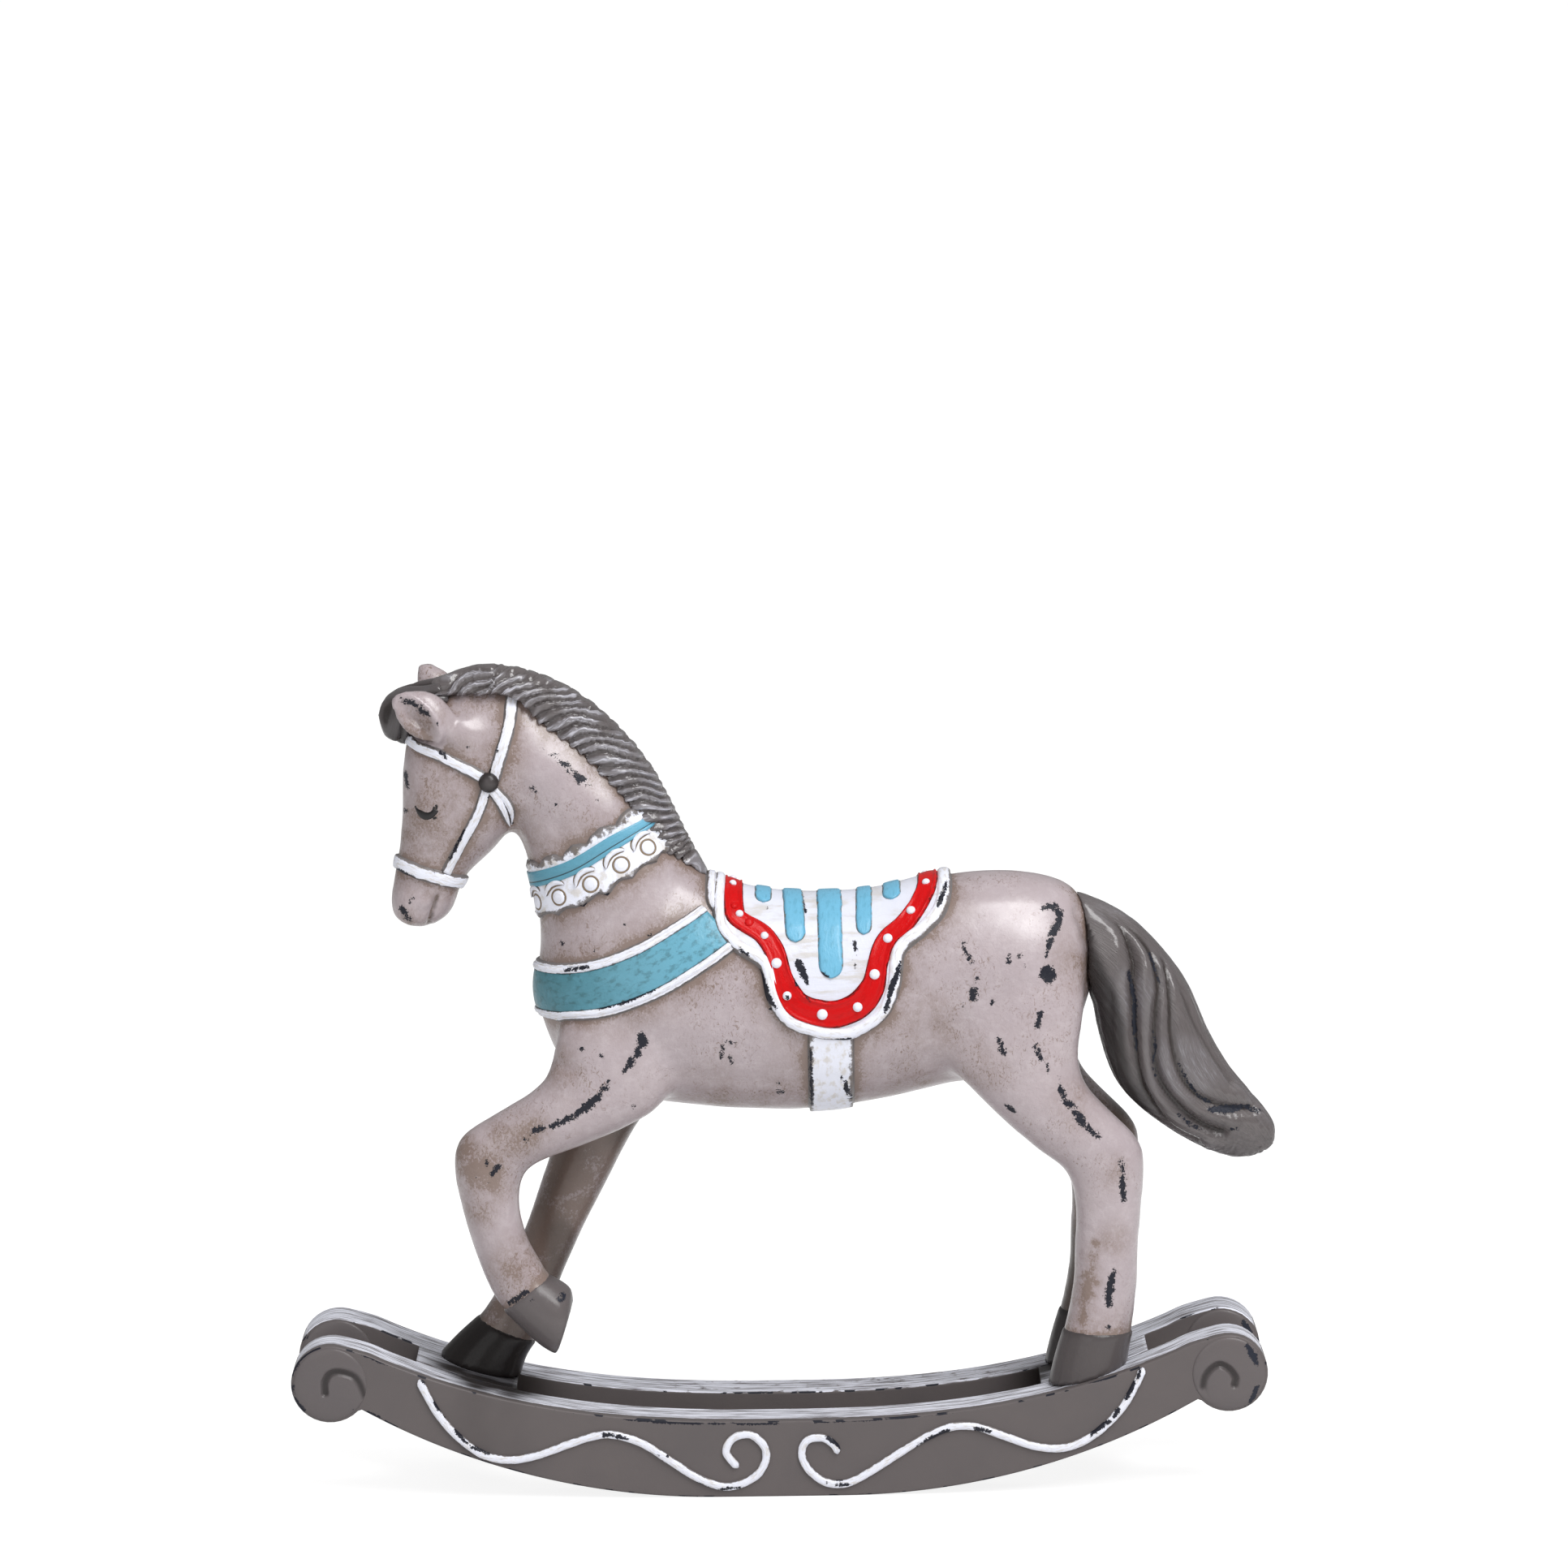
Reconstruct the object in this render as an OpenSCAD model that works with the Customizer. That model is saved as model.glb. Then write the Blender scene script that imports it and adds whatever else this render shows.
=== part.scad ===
/* [Rockers] */
// Length between the centres of the two scrolls
scroll_span = 184; // [170:1:200]
// Radius of the round scroll at each end of a rail
scroll_radius = 8; // [6:0.5:9]
// Height of the scroll centres above the floor
scroll_height = 24.6; // [22:0.1:28]
// Thickness of one rail
rail_thickness = 12; // [8:0.5:14]
// Overall width across both rails
base_width = 40; // [36:1:46]
// Height of a rail's top edge at mid-length
rail_mid_height = 15.8; // [13:0.1:18]
// Rise of the rail's top edge at 55 mm from mid-length
rail_rise = 4.9; // [3:0.1:6]
// Half-length of the flat land under each rail
land_half_length = 13; // [8:1:18]
// Radius of the rolling curve at each side of the land
rocking_radius = 147; // [130:1:180]

/* [Cross blocks] */
// Front block: how far its front face is from the middle
front_plate_x = -76.5; // [-80:0.5:-70]
// Front block: length
front_plate_length = 20.5; // [16:0.5:24]
// Rear block: how far its front face is from the middle
rear_plate_x = 52.3; // [46:0.1:56]
// Rear block: length
rear_plate_length = 22; // [16:0.5:26]
// Depth of both blocks
plate_depth = 7; // [5:0.5:9]

/* [Horse] */
// Half-width scale of the horse's body
body_fullness = 1; // [0.9:0.01:1.08]
// Points around each body section
section_points = 18; // [16:2:24]

/* [Tack] */
// Thickness of the saddle cloth
cloth_thickness = 1.4; // [1:0.1:2]
// Thickness of the straps
strap_thickness = 1; // [0.8:0.1:1.4]
// Radius of the white studs on the saddle border
stud_radius = 0.95; // [0.7:0.05:1.2]
// Radius of the raised dots on the collar
bead_radius = 1.25; // [0.9:0.05:1.5]

/* [Fixings] */
// Radius of the dowels at the neck, head and legs
dowel_radius = 2; // [1.5:0.1:2.5]
// Radius of the screws and small dowels in the base
screw_radius = 1.2; // [1:0.1:1.5]
// Gap around every dowel, filled by glue
glue_gap = 0.15; // [0.1:0.05:0.25]

/* [Hidden] */

// Colours
body_colour = [0.68, 0.63, 0.62];
dark_colour = [0.37, 0.35, 0.34];
white_colour = [0.92, 0.93, 0.96];
blue_colour = [0.36, 0.60, 0.66];
red_colour = [0.78, 0.08, 0.08];
wood_colour = [0.78, 0.64, 0.44];
steel_colour = [0.6, 0.62, 0.65];

// The rockers are centred a little ahead of the figure's own middle.
rocker_x = -1.65;
half_width = base_width / 2;
rail_inner = half_width - rail_thickness;
notch_reach = scroll_span / 2 - 6.4;
bottom_steps = 14;
top_steps = 22;
far = 60;

// ---------- curves ----------

// Catmull-Rom value between rows b and c of a table
function between(a, b, c, d, t) =
    0.5 * (2 * b + (c - a) * t + (2 * a - 5 * b + 4 * c - d) * t * t
    + (3 * b - a - 3 * c + d) * t * t * t);

// A smooth open curve through all rows of a table, with n steps between rows
function smooth(rows, n) = let (last = len(rows) - 1) [
    for (i = [0 : last - 1], k = [0 : n - 1])
        between(rows[max(i - 1, 0)], rows[i], rows[i + 1], rows[min(i + 2, last)], k / n),
    rows[last]
];

// The same for a closed outline
function smooth_loop(rows, n) = let (m = len(rows)) [
    for (i = [0 : m - 1], k = [0 : n - 1])
        between(rows[(i + m - 1) % m], rows[i], rows[(i + 1) % m], rows[(i + 2) % m], k / n)
];

function unit(v) = v / norm(v);
function flipped(rows) = [for (i = [len(rows) - 1 : -1 : 0]) rows[i]];

// Normals of a flat path, and the outline of a ribbon of half-width h along it
function path_normal(path, i) =
    let (d = unit(path[min(i + 1, len(path) - 1)] - path[max(i - 1, 0)])) [-d[1], d[0]];
function ribbon(path, h) = concat(
    [for (i = [0 : len(path) - 1]) path[i] + h * path_normal(path, i)],
    [for (i = [len(path) - 1 : -1 : 0]) path[i] - h * path_normal(path, i)]
);

// ---------- lofted bodies ----------

// A section row is [top x, top z, bottom x, bottom z, half-width, centre y].
// Its outline is an oval in the plane through the top and bottom points; turn is 1 or -1
// and sets which way round the oval runs.
function oval(s, turn) = let (
    middle = [(s[0] + s[2]) / 2, s[5], (s[1] + s[3]) / 2],
    reach = [(s[0] - s[2]) / 2, 0, (s[1] - s[3]) / 2]
) [
    for (k = [0 : section_points - 1])
        let (a = 360 * k / section_points)
        middle + reach * cos(a) + [0, turn * s[4] * sin(a), 0]
];

// The same row grown outwards by t all round
function grown(s, t) = let (d = unit([s[0] - s[2], s[1] - s[3]]) * t)
    [s[0] + d[0], s[1] + d[1], s[2] - d[0], s[3] - d[1], s[4] + t, s[5]];
function all_grown(rows, t) = [for (s = rows) grown(s, t)];
function mirrored(rows) = [for (s = rows) [s[0], s[1], s[2], s[3], s[4], -s[5]]];
function widened(rows) = [for (s = rows) [s[0], s[1], s[2], s[3], s[4] * body_fullness, s[5]]];

// Which way round the ovals run, so that the faces of a loft point outwards
function loft_turn(rows) = let (
    go = rows[1] - rows[0],
    travel = [go[0] + go[2], go[1] + go[3]],
    reach = [rows[0][0] - rows[0][2], rows[0][1] - rows[0][3]]
) reach[0] * travel[1] - reach[1] * travel[0] > 0 ? -1 : 1;

// A closed solid through a list of section rows
module loft(rows) {
    n = section_points;
    rings = len(rows);
    turn = loft_turn(rows);
    points = [for (s = rows) each oval(s, turn)];
    sides = [
        for (i = [0 : rings - 2], k = [0 : n - 1])
            let (a = i * n + k, b = i * n + (k + 1) % n)
            each [[a, b, b + n], [a, b + n, a + n]]
    ];
    start = [[for (k = [n - 1 : -1 : 0]) k]];
    finish = [[for (k = [0 : n - 1]) (rings - 1) * n + k]];
    polyhedron(points, concat(sides, start, finish));
}

// An outline drawn in side view, standing from y0 to y1
module side_cut(outline, y0 = -far, y1 = far) {
    translate([0, y1, 0]) rotate([90, 0, 0]) linear_extrude(y1 - y0) polygon(outline);
}

// A pin along Y at a place in side view, from y0 to y1
module cross_pin(at, r, y0, y1, sides = 24) {
    translate([at[0], y0, at[1]]) rotate([-90, 0, 0]) cylinder(r = r, h = y1 - y0, $fn = sides);
}

// A pin between two points
module pin_between(a, b, r, sides = 24) {
    d = b - a;
    translate(a) rotate([0, acos(d[2] / norm(d)), atan2(d[1], d[0])])
        cylinder(r = r, h = norm(d), $fn = sides);
}

// Evaluates a boolean of lofted bodies as one mesh
module carved() {
    resize([0, 0, 0]) children();
}

// ---------- section tables of the horse ----------

// Rump to muzzle in one table, so that torso, neck and head meet on shared sections
trunk_table = [
    [62.8, 118, 63.6, 103, 5, 0],
    [59.5, 123, 60.5, 93.4, 11, 0],
    [53, 125.6, 55, 87, 14.6, 0],
    [43, 126.5, 46, 83, 16.6, 0],
    [31, 125.2, 35, 82.4, 17.2, 0],
    [20, 122.4, 22, 79.4, 17.2, 0],
    [8, 121.6, 2, 77, 17.3, 0],
    [-2, 122.2, -25, 79, 17.1, 0],
    [-7.8, 123.4, -43, 84.5, 16.4, 0],
    [-12.7, 125.2, -48.9, 94.5, 14.6, 0],
    [-16.4, 127.6, -50.8, 103, 13.3, 0],
    [-20.2, 132.6, -49.8, 111.5, 11.8, 0],
    [-24.6, 140, -50, 119, 10.5, 0],
    [-29.8, 147.6, -51.3, 126.5, 9.5, 0],
    [-35.6, 154, -52.8, 132, 8.8, 0],
    [-42.2, 159.5, -55.2, 136, 8.4, 0],
    [-52, 165.6, -57.6, 133.6, 8.6, 0],
    [-64, 166.4, -60.4, 130.4, 8.6, 0],
    [-73.6, 161, -63.6, 127.6, 8, 0],
    [-77, 152, -65.8, 124.6, 7.2, 0],
    [-77.5, 142, -66.6, 122, 6.2, 0],
    [-78.2, 133.6, -67.4, 119.8, 5.6, 0],
    [-79.5, 126.6, -69.4, 117.8, 5.4, 0],
    [-80.2, 121.6, -73, 116.2, 4.8, 0],
    [-79.6, 118.6, -76.4, 116.4, 2.8, 0]
];
neck_joint = 9;
head_joint = 15;
trunk_steps = 2;
trunk_rows = smooth(widened(trunk_table), trunk_steps);
function trunk_part(first, last) = [
    for (i = [first * trunk_steps : last * trunk_steps]) trunk_rows[i]];
torso_rows = trunk_part(0, neck_joint);
neck_rows = trunk_part(neck_joint, head_joint);
head_rows = trunk_part(head_joint, len(trunk_table) - 1);

mane_rows = smooth([
    [-14.6, 126.2, -22, 124.6, 3, 0],
    [-19, 134.6, -27, 128.6, 6.6, 0],
    [-25.6, 148, -34.6, 139.2, 7.6, 0],
    [-33.4, 157.8, -40.4, 147, 7.6, 0],
    [-42.4, 165.2, -47, 153, 7.4, 0],
    [-53, 169.6, -54.4, 156.6, 7.2, 0],
    [-62, 170.2, -61, 158, 6.4, 0],
    [-68.6, 168, -65.6, 160, 4.6, 0]
], 2);

forelock_rows = smooth([
    [-69.6, 167.6, -66.4, 161.6, 4.4, 0],
    [-75.6, 166.4, -70.6, 159.6, 5.2, 0],
    [-80.2, 164, -73.4, 157, 5, 0],
    [-82, 160, -75.6, 155, 4, 0],
    [-80.8, 155.8, -76.8, 154, 2.4, 0]
], 2);

tail_rows = smooth([
    [58.6, 122.6, 59.6, 106, 5.6, 0],
    [66, 119.8, 63.4, 99.6, 6.8, 0],
    [73, 115.4, 64.4, 94.4, 7.5, 0],
    [79.6, 108.2, 66, 88, 7.8, 0],
    [84, 101.4, 68, 83, 7.8, 0],
    [87.2, 93.4, 71.2, 78.6, 7.6, 0],
    [92, 84.8, 77, 73.6, 7, 0],
    [98, 77.6, 85, 68.6, 5.6, 0],
    [101.2, 72.6, 93, 66, 3.8, 0],
    [100.8, 69, 98, 67, 1.6, 0]
], 2);

// Legs: the first rows are hidden in the body
foreleg_left_rows = smooth([
    [-40, 106, -16, 98, 5.4, -8.6],
    [-46, 96, -20, 86.6, 6.6, -9.6],
    [-48.6, 86, -27, 78.4, 6.9, -10.2],
    [-55.9, 80.7, -40.2, 72.4, 6.4, -10.6],
    [-62, 77.2, -47.6, 69.8, 5.9, -10.8],
    [-66.7, 73.6, -52.6, 67.2, 5.8, -10.8],
    [-67.9, 68, -54.2, 63.6, 5.8, -10.8],
    [-66.4, 59.4, -54.4, 58.4, 5.6, -10.8],
    [-63.9, 50.3, -52.4, 51.6, 5.4, -10.8],
    [-60.9, 42.4, -49.8, 47.4, 5.5, -10.8],
    [-58.2, 38, -49.3, 45.2, 5.8, -10.8]
], 2);

hoof_fore_left_rows = smooth([
    [-58.2, 38, -49.3, 45.2, 5.8, -10.8],
    [-54.6, 34.4, -46.3, 43.5, 6.5, -10.8],
    [-50.6, 30.6, -44.5, 41.9, 6.8, -10.8],
    [-47.6, 28.8, -44.1, 39.6, 6.2, -10.8]
], 3);

foreleg_right_rows = smooth([
    [-40, 106, -16, 98, 5.4, 8.6],
    [-46, 95, -20, 87, 6.6, 9.4],
    [-47.8, 82, -26, 79, 6.9, 9.4],
    [-47.8, 70.6, -31.6, 71, 6.3, 8.8],
    [-50.6, 61.6, -36.4, 62, 5.7, 7.8],
    [-53.6, 53, -41, 53.4, 5.3, 7],
    [-57.2, 44.6, -45.2, 44.6, 5.2, 6.4],
    [-60.6, 38, -48.8, 36, 5.3, 6],
    [-63.9, 33.2, -52.2, 28, 5.9, 6]
], 2);

hoof_fore_right_rows = smooth([
    [-63.9, 33.2, -52.2, 28, 5.9, 6],
    [-68, 29.6, -54.4, 24.6, 6.7, 6],
    [-71.6, 25.8, -56, 19.6, 7.4, 6],
    [-73.6, 22.6, -57, 16, 7.6, 6]
], 3);

hind_leg_left_rows = smooth([
    [33, 112, 56, 112, 4.6, -6.6],
    [28, 103, 61, 106, 6.8, -9.2],
    [29.4, 91, 61.4, 98, 7.5, -10.6],
    [36.6, 84.4, 60.4, 90, 7.3, -11],
    [45, 76, 62, 83.2, 6.8, -11.1],
    [52.6, 69.4, 69, 75.8, 6.2, -11.1],
    [57.6, 65.4, 73.5, 70, 6, -11],
    [59.4, 58.6, 73.3, 60.4, 5.7, -11],
    [59.2, 49.6, 72.4, 50, 5.5, -10.9],
    [58.8, 41.6, 72.1, 41.6, 5.6, -10.8],
    [57, 32.6, 70.9, 32, 6.4, -10.7]
], 2);

hoof_hind_left_rows = smooth([
    [57, 32.6, 70.9, 32, 6.4, -10.7],
    [55.4, 27.6, 70.2, 28.4, 6.9, -10.6],
    [53.8, 21, 69.6, 24, 7.3, -10.6],
    [53.4, 16, 69.6, 18, 7.4, -10.6]
], 3);

// The standing feet keep their place over the joint of rail and block:
// the legs above them spread with it, from nothing at the body
drawn_inner = 8;
stance_top = 100;
stance_foot = 32;
function stood(rows) = [for (r = rows)
    let (share = max(0, min(1, (stance_top - min(r[1], r[3])) / (stance_top - stance_foot))))
    [r[0], r[1], r[2], r[3], r[4], r[5] + sign(r[5]) * share * (rail_inner - drawn_inner)]];

// ---------- outlines of the base, in side view ----------

// Underside and top edge of a rail, at distance d from mid-length
function underside(d) = d < land_half_length ? 0
    : rocking_radius - sqrt(pow(rocking_radius, 2) - pow(d - land_half_length, 2));
function topside(d) = rail_mid_height + rail_rise * pow(d / 55, 2.6);

// Where the top edge runs onto the scroll
scroll_x = scroll_span / 2;
top_end = scroll_x - 7.5;
function rail_side(side) = concat(
    [for (i = [0 : bottom_steps]) let (d = land_half_length
        + (notch_reach - land_half_length) * i / bottom_steps) [side * d, underside(d)]],
    [for (a = [-135 : 10 : 105]) [side * (scroll_x + scroll_radius * cos(a)),
        scroll_height + scroll_radius * sin(a)]],
    [for (i = [top_steps : -1 : 1]) let (d = top_end * i / top_steps) [side * d, topside(d)]]
);
rail_outline = [for (p = concat(rail_side(1), flipped(rail_side(-1)))) p + [rocker_x, 0]];

// A cross block follows the rails' top edge
function plate_outline(x0, length) = let (
    steps = 8,
    top = [for (i = [0 : steps]) let (x = x0 + length * i / steps) [x, topside(abs(x - rocker_x))]]
) concat(top, flipped([for (p = top) p - [0, plate_depth]]));
front_plate_outline = plate_outline(front_plate_x, front_plate_length);
rear_plate_outline = plate_outline(rear_plate_x, rear_plate_length);

// Everything below the rails' top edge, used to stand the hooves on it
base_top_outline = concat(
    [for (x = [-90 : 2 : 90]) [x, topside(abs(x - rocker_x))]], [[90, -10], [-90, -10]]);

// Tendril on the rail: a wave that ends in an open curl
vine_front = smooth([
    [-75.4, 25.4], [-74.1, 22.6], [-71.4, 17.8], [-67.6, 13.3], [-62.6, 9.6], [-57.2, 8.4],
    [-51.4, 9.3], [-45.1, 11.5], [-40, 13.1], [-35.8, 13.4], [-30.1, 11.6], [-24.4, 7.9],
    [-18.6, 4.1], [-13.6, 2.3], [-9.8, 2.8], [-6.4, 4.7], [-4.6, 8], [-5.2, 11], [-8, 13.1],
    [-11.4, 12.3], [-12.8, 9.6], [-11.6, 7.6], [-10.3, 6.2]
], 3);
vine_rear = smooth([
    [72.8, 26], [71.4, 22.8], [68.3, 17.6], [63, 12.4], [57, 9.6], [51, 9.8], [45, 11.8],
    [39, 14], [33.6, 14.2], [28, 12], [22.2, 8.5], [16, 4.6], [11.6, 2.6], [7.4, 3], [4, 5.7],
    [2.7, 9], [3.8, 11.7], [7, 12.2], [9.4, 10.6], [10.1, 8.8]
], 3);
vine_half_width = 0.85;
vine_height = 0.8;

// ---------- outlines of the tack, in side view ----------

saddle_outline = smooth_loop([
    [-12.6, 136], [-14, 124], [-13.8, 119], [-11.7, 114], [-6.4, 110.6], [-4.2, 107.4],
    [-3.1, 102.4], [-0.4, 98], [4.6, 95], [10.7, 94.3], [16, 95.2], [20.4, 98], [23.2, 101.5],
    [24.4, 107], [25.6, 112], [29.7, 115.1], [33.4, 119], [34.8, 124.6], [34, 136]
], 2);
red_outer = smooth_loop([
    [-11, 134], [-12.3, 122.2], [-11.2, 117.6], [-8.2, 115.4], [-4.7, 113], [-2.7, 108.4],
    [-1.2, 103.8], [2.2, 99], [8.3, 97.2], [15, 98.4], [19.6, 102.8], [21.4, 108.6],
    [23.4, 113.2], [28.2, 117.8], [31.2, 123], [31.6, 134]
], 1);
red_inner = smooth_loop([
    [-7.4, 134], [-8.5, 122.6], [-7, 118.9], [-2.4, 116.4], [0.4, 112.6], [1.9, 107],
    [4.6, 103.4], [9.4, 102.3], [13.8, 103.4], [16.8, 107.6], [18.4, 112.8], [22.6, 117],
    [26.6, 120.4], [28, 124], [27.8, 134]
], 1);
stud_places = [
    [-10.4, 123.5], [-8.8, 118.6], [-3.6, 114.7], [-1.2, 109.7], [0.9, 103.5], [8, 99.8],
    [15.2, 101.2], [18.8, 107.4], [21.7, 114], [26.6, 119], [29.9, 123.6]
];
// Stripes hang from the seat: [x, width, lowest point]
stripe_top = 122.1;
stripe_places = [
    [-3.9, 3.2, 120.4], [2.4, 3.6, 113.3], [9.7, 4.6, 106.6], [16.6, 3.2, 114.7], [22.6, 3.4, 120.8]
];

band_top = [[-56, 108.8], [-46, 109], [-37, 110.4], [-27, 114], [-18, 118.8], [-6, 125.6]];
band_bottom = [[-56, 98], [-46, 98], [-37, 99.6], [-27, 103.6], [-18, 109], [-6, 117]];
function band_line(t) = smooth([
    for (i = [0 : len(band_top) - 1]) band_bottom[i] + t * (band_top[i] - band_bottom[i])], 3);
function band_part(t0, t1) = concat(band_line(t0), flipped(band_line(t1)));

collar_top = [[-58, 126.6], [-51, 129.2], [-41.6, 133], [-34, 137.4], [-26.6, 142.4]];
collar_bottom = [[-58, 115.6], [-49, 118.2], [-41, 121.4], [-32, 126.8], [-20.6, 132.8]];
function collar_line(t) = smooth([
    for (i = [0 : len(collar_top) - 1]) collar_bottom[i] + t * (collar_top[i] - collar_bottom[i])], 3);
function collar_part(t0, t1) = concat(collar_line(t0), flipped(collar_line(t1)));
bead_count = 5;

boss_place = [-59.4, 146.7];
brow_path = smooth([[-80, 157.4], [-76, 155.8], [-68, 151.4], boss_place], 3);
cheek_path = smooth([boss_place, [-59.8, 141], [-62.6, 134.4], [-68, 128.8]], 3);
crown_path = smooth([boss_place, [-58, 153], [-55.4, 159.6], [-54, 168]], 3);
latch_path = smooth([boss_place, [-57.4, 142.6], [-55, 139.4], [-55.4, 134]], 3);
nose_path = [[-84, 130.4], [-74, 127.8], [-62, 124.4]];
strap_half = 1.15;

// ---------- base ----------

module rail(y0) {
    color(dark_colour) difference() {
        side_cut(rail_outline, y0, y0 + rail_thickness);
        plate_dowel_set(screw_radius + glue_gap);
    }
}
module rocker_rail_left() { rail(-half_width); }
module rocker_rail_right() { rail(rail_inner); }

// Two dowels in each side of a block, halfway down it and clear of its screws
dowel_inset = 3.5;
dowel_reach = 5;
function plate_middle(x) = topside(abs(x - rocker_x)) - plate_depth / 2;
plate_dowel_places = [
    for (x = [front_plate_x + dowel_inset, front_plate_x + front_plate_length - dowel_inset,
        rear_plate_x + dowel_inset, rear_plate_x + rear_plate_length - dowel_inset])
    [x, plate_middle(x)]
];
module plate_dowel_set(r) {
    for (p = plate_dowel_places, side = [-1, 1])
        cross_pin(p, r, side * rail_inner - dowel_reach, side * rail_inner + dowel_reach);
}
module plate_dowels() { color(wood_colour) plate_dowel_set(screw_radius); }

// Screws stand upright in the blocks, one under each standing hoof: [x, y]
screw_length = 10.5;
screw_head_radius = 1.9;
screw_head_height = 2;
screw_wall = 0.3;
screw_y = rail_inner - screw_head_radius - screw_wall;
rear_screw_x = rear_plate_x + rear_plate_length / 2;
screw_places = [
    [front_plate_x + front_plate_length / 2, screw_y], [rear_screw_x, -screw_y], [rear_screw_x, screw_y]
];
function screw_foot(x) = topside(abs(x - rocker_x)) - plate_depth + 1;
module screw_set(gap) {
    for (p = screw_places) translate([p[0], p[1], screw_foot(p[0])]) {
        cylinder(r = screw_radius + gap, h = screw_length + gap, $fn = 24);
        // the hole for a head runs out through the underside of the block
        translate([0, 0, gap > 0 ? -3 : 0])
            cylinder(r = screw_head_radius + gap, h = screw_head_height + (gap > 0 ? 3 : 0), $fn = 24);
    }
}
module hoof_screws() { color(steel_colour) screw_set(0); }

module plate(outline) {
    color(dark_colour) difference() {
        side_cut(outline, -rail_inner, rail_inner);
        plate_dowel_set(screw_radius + glue_gap);
        screw_set(glue_gap);
    }
}
module front_plate() { plate(front_plate_outline); }
module rear_plate() { plate(rear_plate_outline); }

module vine(y0) {
    color(white_colour) for (path = [vine_front, vine_rear])
        side_cut(ribbon(path, vine_half_width), y0, y0 + vine_height);
}
module rail_vine_left() { vine(-half_width - vine_height); }
module rail_vine_right() { vine(half_width); }

// ---------- dowels in the horse ----------

neck_dowel_ends = [[-25, 0, 104], [-38, 0, 118]];
head_dowel_ends = [[-44, 0, 143], [-57, 0, 152]];
tail_dowel_ends = [[54, 0, 114], [73, 0, 107]];
leg_dowel_places = [[-33, 91], [44, 96]];

module pin_set(ends, grow) { pin_between(ends[0], ends[1], dowel_radius + grow); }
module leg_pin_set(grow) {
    for (p = leg_dowel_places, side = [-1, 1])
        cross_pin(p, dowel_radius + grow, min(side * 8, side * 15) - grow, max(side * 8, side * 15) + grow);
}
module neck_dowel() { color(wood_colour) pin_set(neck_dowel_ends, 0); }
module head_dowel() { color(wood_colour) pin_set(head_dowel_ends, 0); }
module tail_dowel() { color(wood_colour) pin_set(tail_dowel_ends, 0); }
module leg_dowels() { color(wood_colour) leg_pin_set(0); }
module all_dowel_holes() {
    pin_set(neck_dowel_ends, glue_gap);
    pin_set(head_dowel_ends, glue_gap);
    pin_set(tail_dowel_ends, glue_gap);
    leg_pin_set(glue_gap);
}

// ---------- horse ----------

module torso() {
    color(body_colour) carved() difference() {
        loft(torso_rows);
        all_dowel_holes();
    }
}
module neck() {
    color(body_colour) carved() difference() {
        loft(neck_rows);
        all_dowel_holes();
    }
}
module head() {
    color(body_colour) carved() difference() {
        loft(head_rows);
        all_dowel_holes();
    }
}
module trunk() { loft(trunk_rows); }

module mane() { color(dark_colour) carved() difference() { loft(mane_rows); trunk(); } }
module forelock() {
    color(dark_colour) carved() difference() { loft(forelock_rows); trunk(); loft(mane_rows); }
}
module tail() {
    color(dark_colour) carved() difference() { loft(tail_rows); trunk(); all_dowel_holes(); }
}

// An ear is a leaf from its root to its tip
module leaf(root, tip) {
    hull() {
        translate(root) scale([1.25, 0.75, 1.1]) sphere(r = 3.4, $fn = 16);
        translate(root + (tip - root) * 0.5) scale([1.1, 0.8, 1]) sphere(r = 3.1, $fn = 16);
        translate(tip) sphere(r = 0.8, $fn = 12);
    }
}
ear_left_ends = [[-66.6, -6.4, 160.4], [-75.6, -8.6, 165]];
ear_right_ends = [[-65.4, 6.4, 163], [-73, 8.6, 168.6]];
module ear(ends) {
    color(body_colour) carved() difference() {
        leaf(ends[0], ends[1]);
        trunk();
        loft(mane_rows);
        loft(forelock_rows);
    }
}
module ear_left() { ear(ear_left_ends); }
module ear_right() { ear(ear_right_ends); }

// Closed lids: a short arc on each side of the head
lid_path = smooth([[-74.3, 141.8], [-73.6, 139.8], [-72.5, 139], [-71, 139.8], [-70, 142]], 3);
module eyelids() {
    color(dark_colour) carved() difference() {
        intersection() {
            skin(0.6);
            side_cut(ribbon(lid_path, 0.5));
        }
        trunk();
    }
}

module leg(rows, side) {
    color(body_colour) carved() difference() {
        loft(widened(rows));
        trunk();
        leg_pin_set(glue_gap);
        // nothing of a leg lies beyond the middle of the horse
        translate([-far, side > 0 ? -far : 0, 0]) cube([3 * far, far, 3 * far]);
    }
}
module foreleg_left() { leg(foreleg_left_rows, -1); }
module foreleg_right() { leg(stood(foreleg_right_rows), 1); }
module hind_leg_left() { leg(stood(hind_leg_left_rows), -1); }
module hind_leg_right() { leg(stood(mirrored(hind_leg_left_rows)), 1); }

module hoof_fore_left() { color(dark_colour) carved() loft(hoof_fore_left_rows); }
module standing_hoof(rows) {
    color(dark_colour) carved() difference() {
        loft(stood(rows));
        side_cut(base_top_outline);
        screw_set(glue_gap);
    }
}
module hoof_fore_right() { standing_hoof(hoof_fore_right_rows); }
module hoof_hind_left() { standing_hoof(hoof_hind_left_rows); }
module hoof_hind_right() { standing_hoof(mirrored(hoof_hind_left_rows)); }

// ---------- tack ----------

// The trunk with its skin t thicker
module skin(t) { loft(all_grown(trunk_rows, t)); }
module legs_and_hair() {
    loft(widened(foreleg_left_rows));
    loft(widened(stood(foreleg_right_rows)));
    loft(widened(stood(hind_leg_left_rows)));
    loft(widened(stood(mirrored(hind_leg_left_rows))));
    loft(mane_rows);
}

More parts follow.
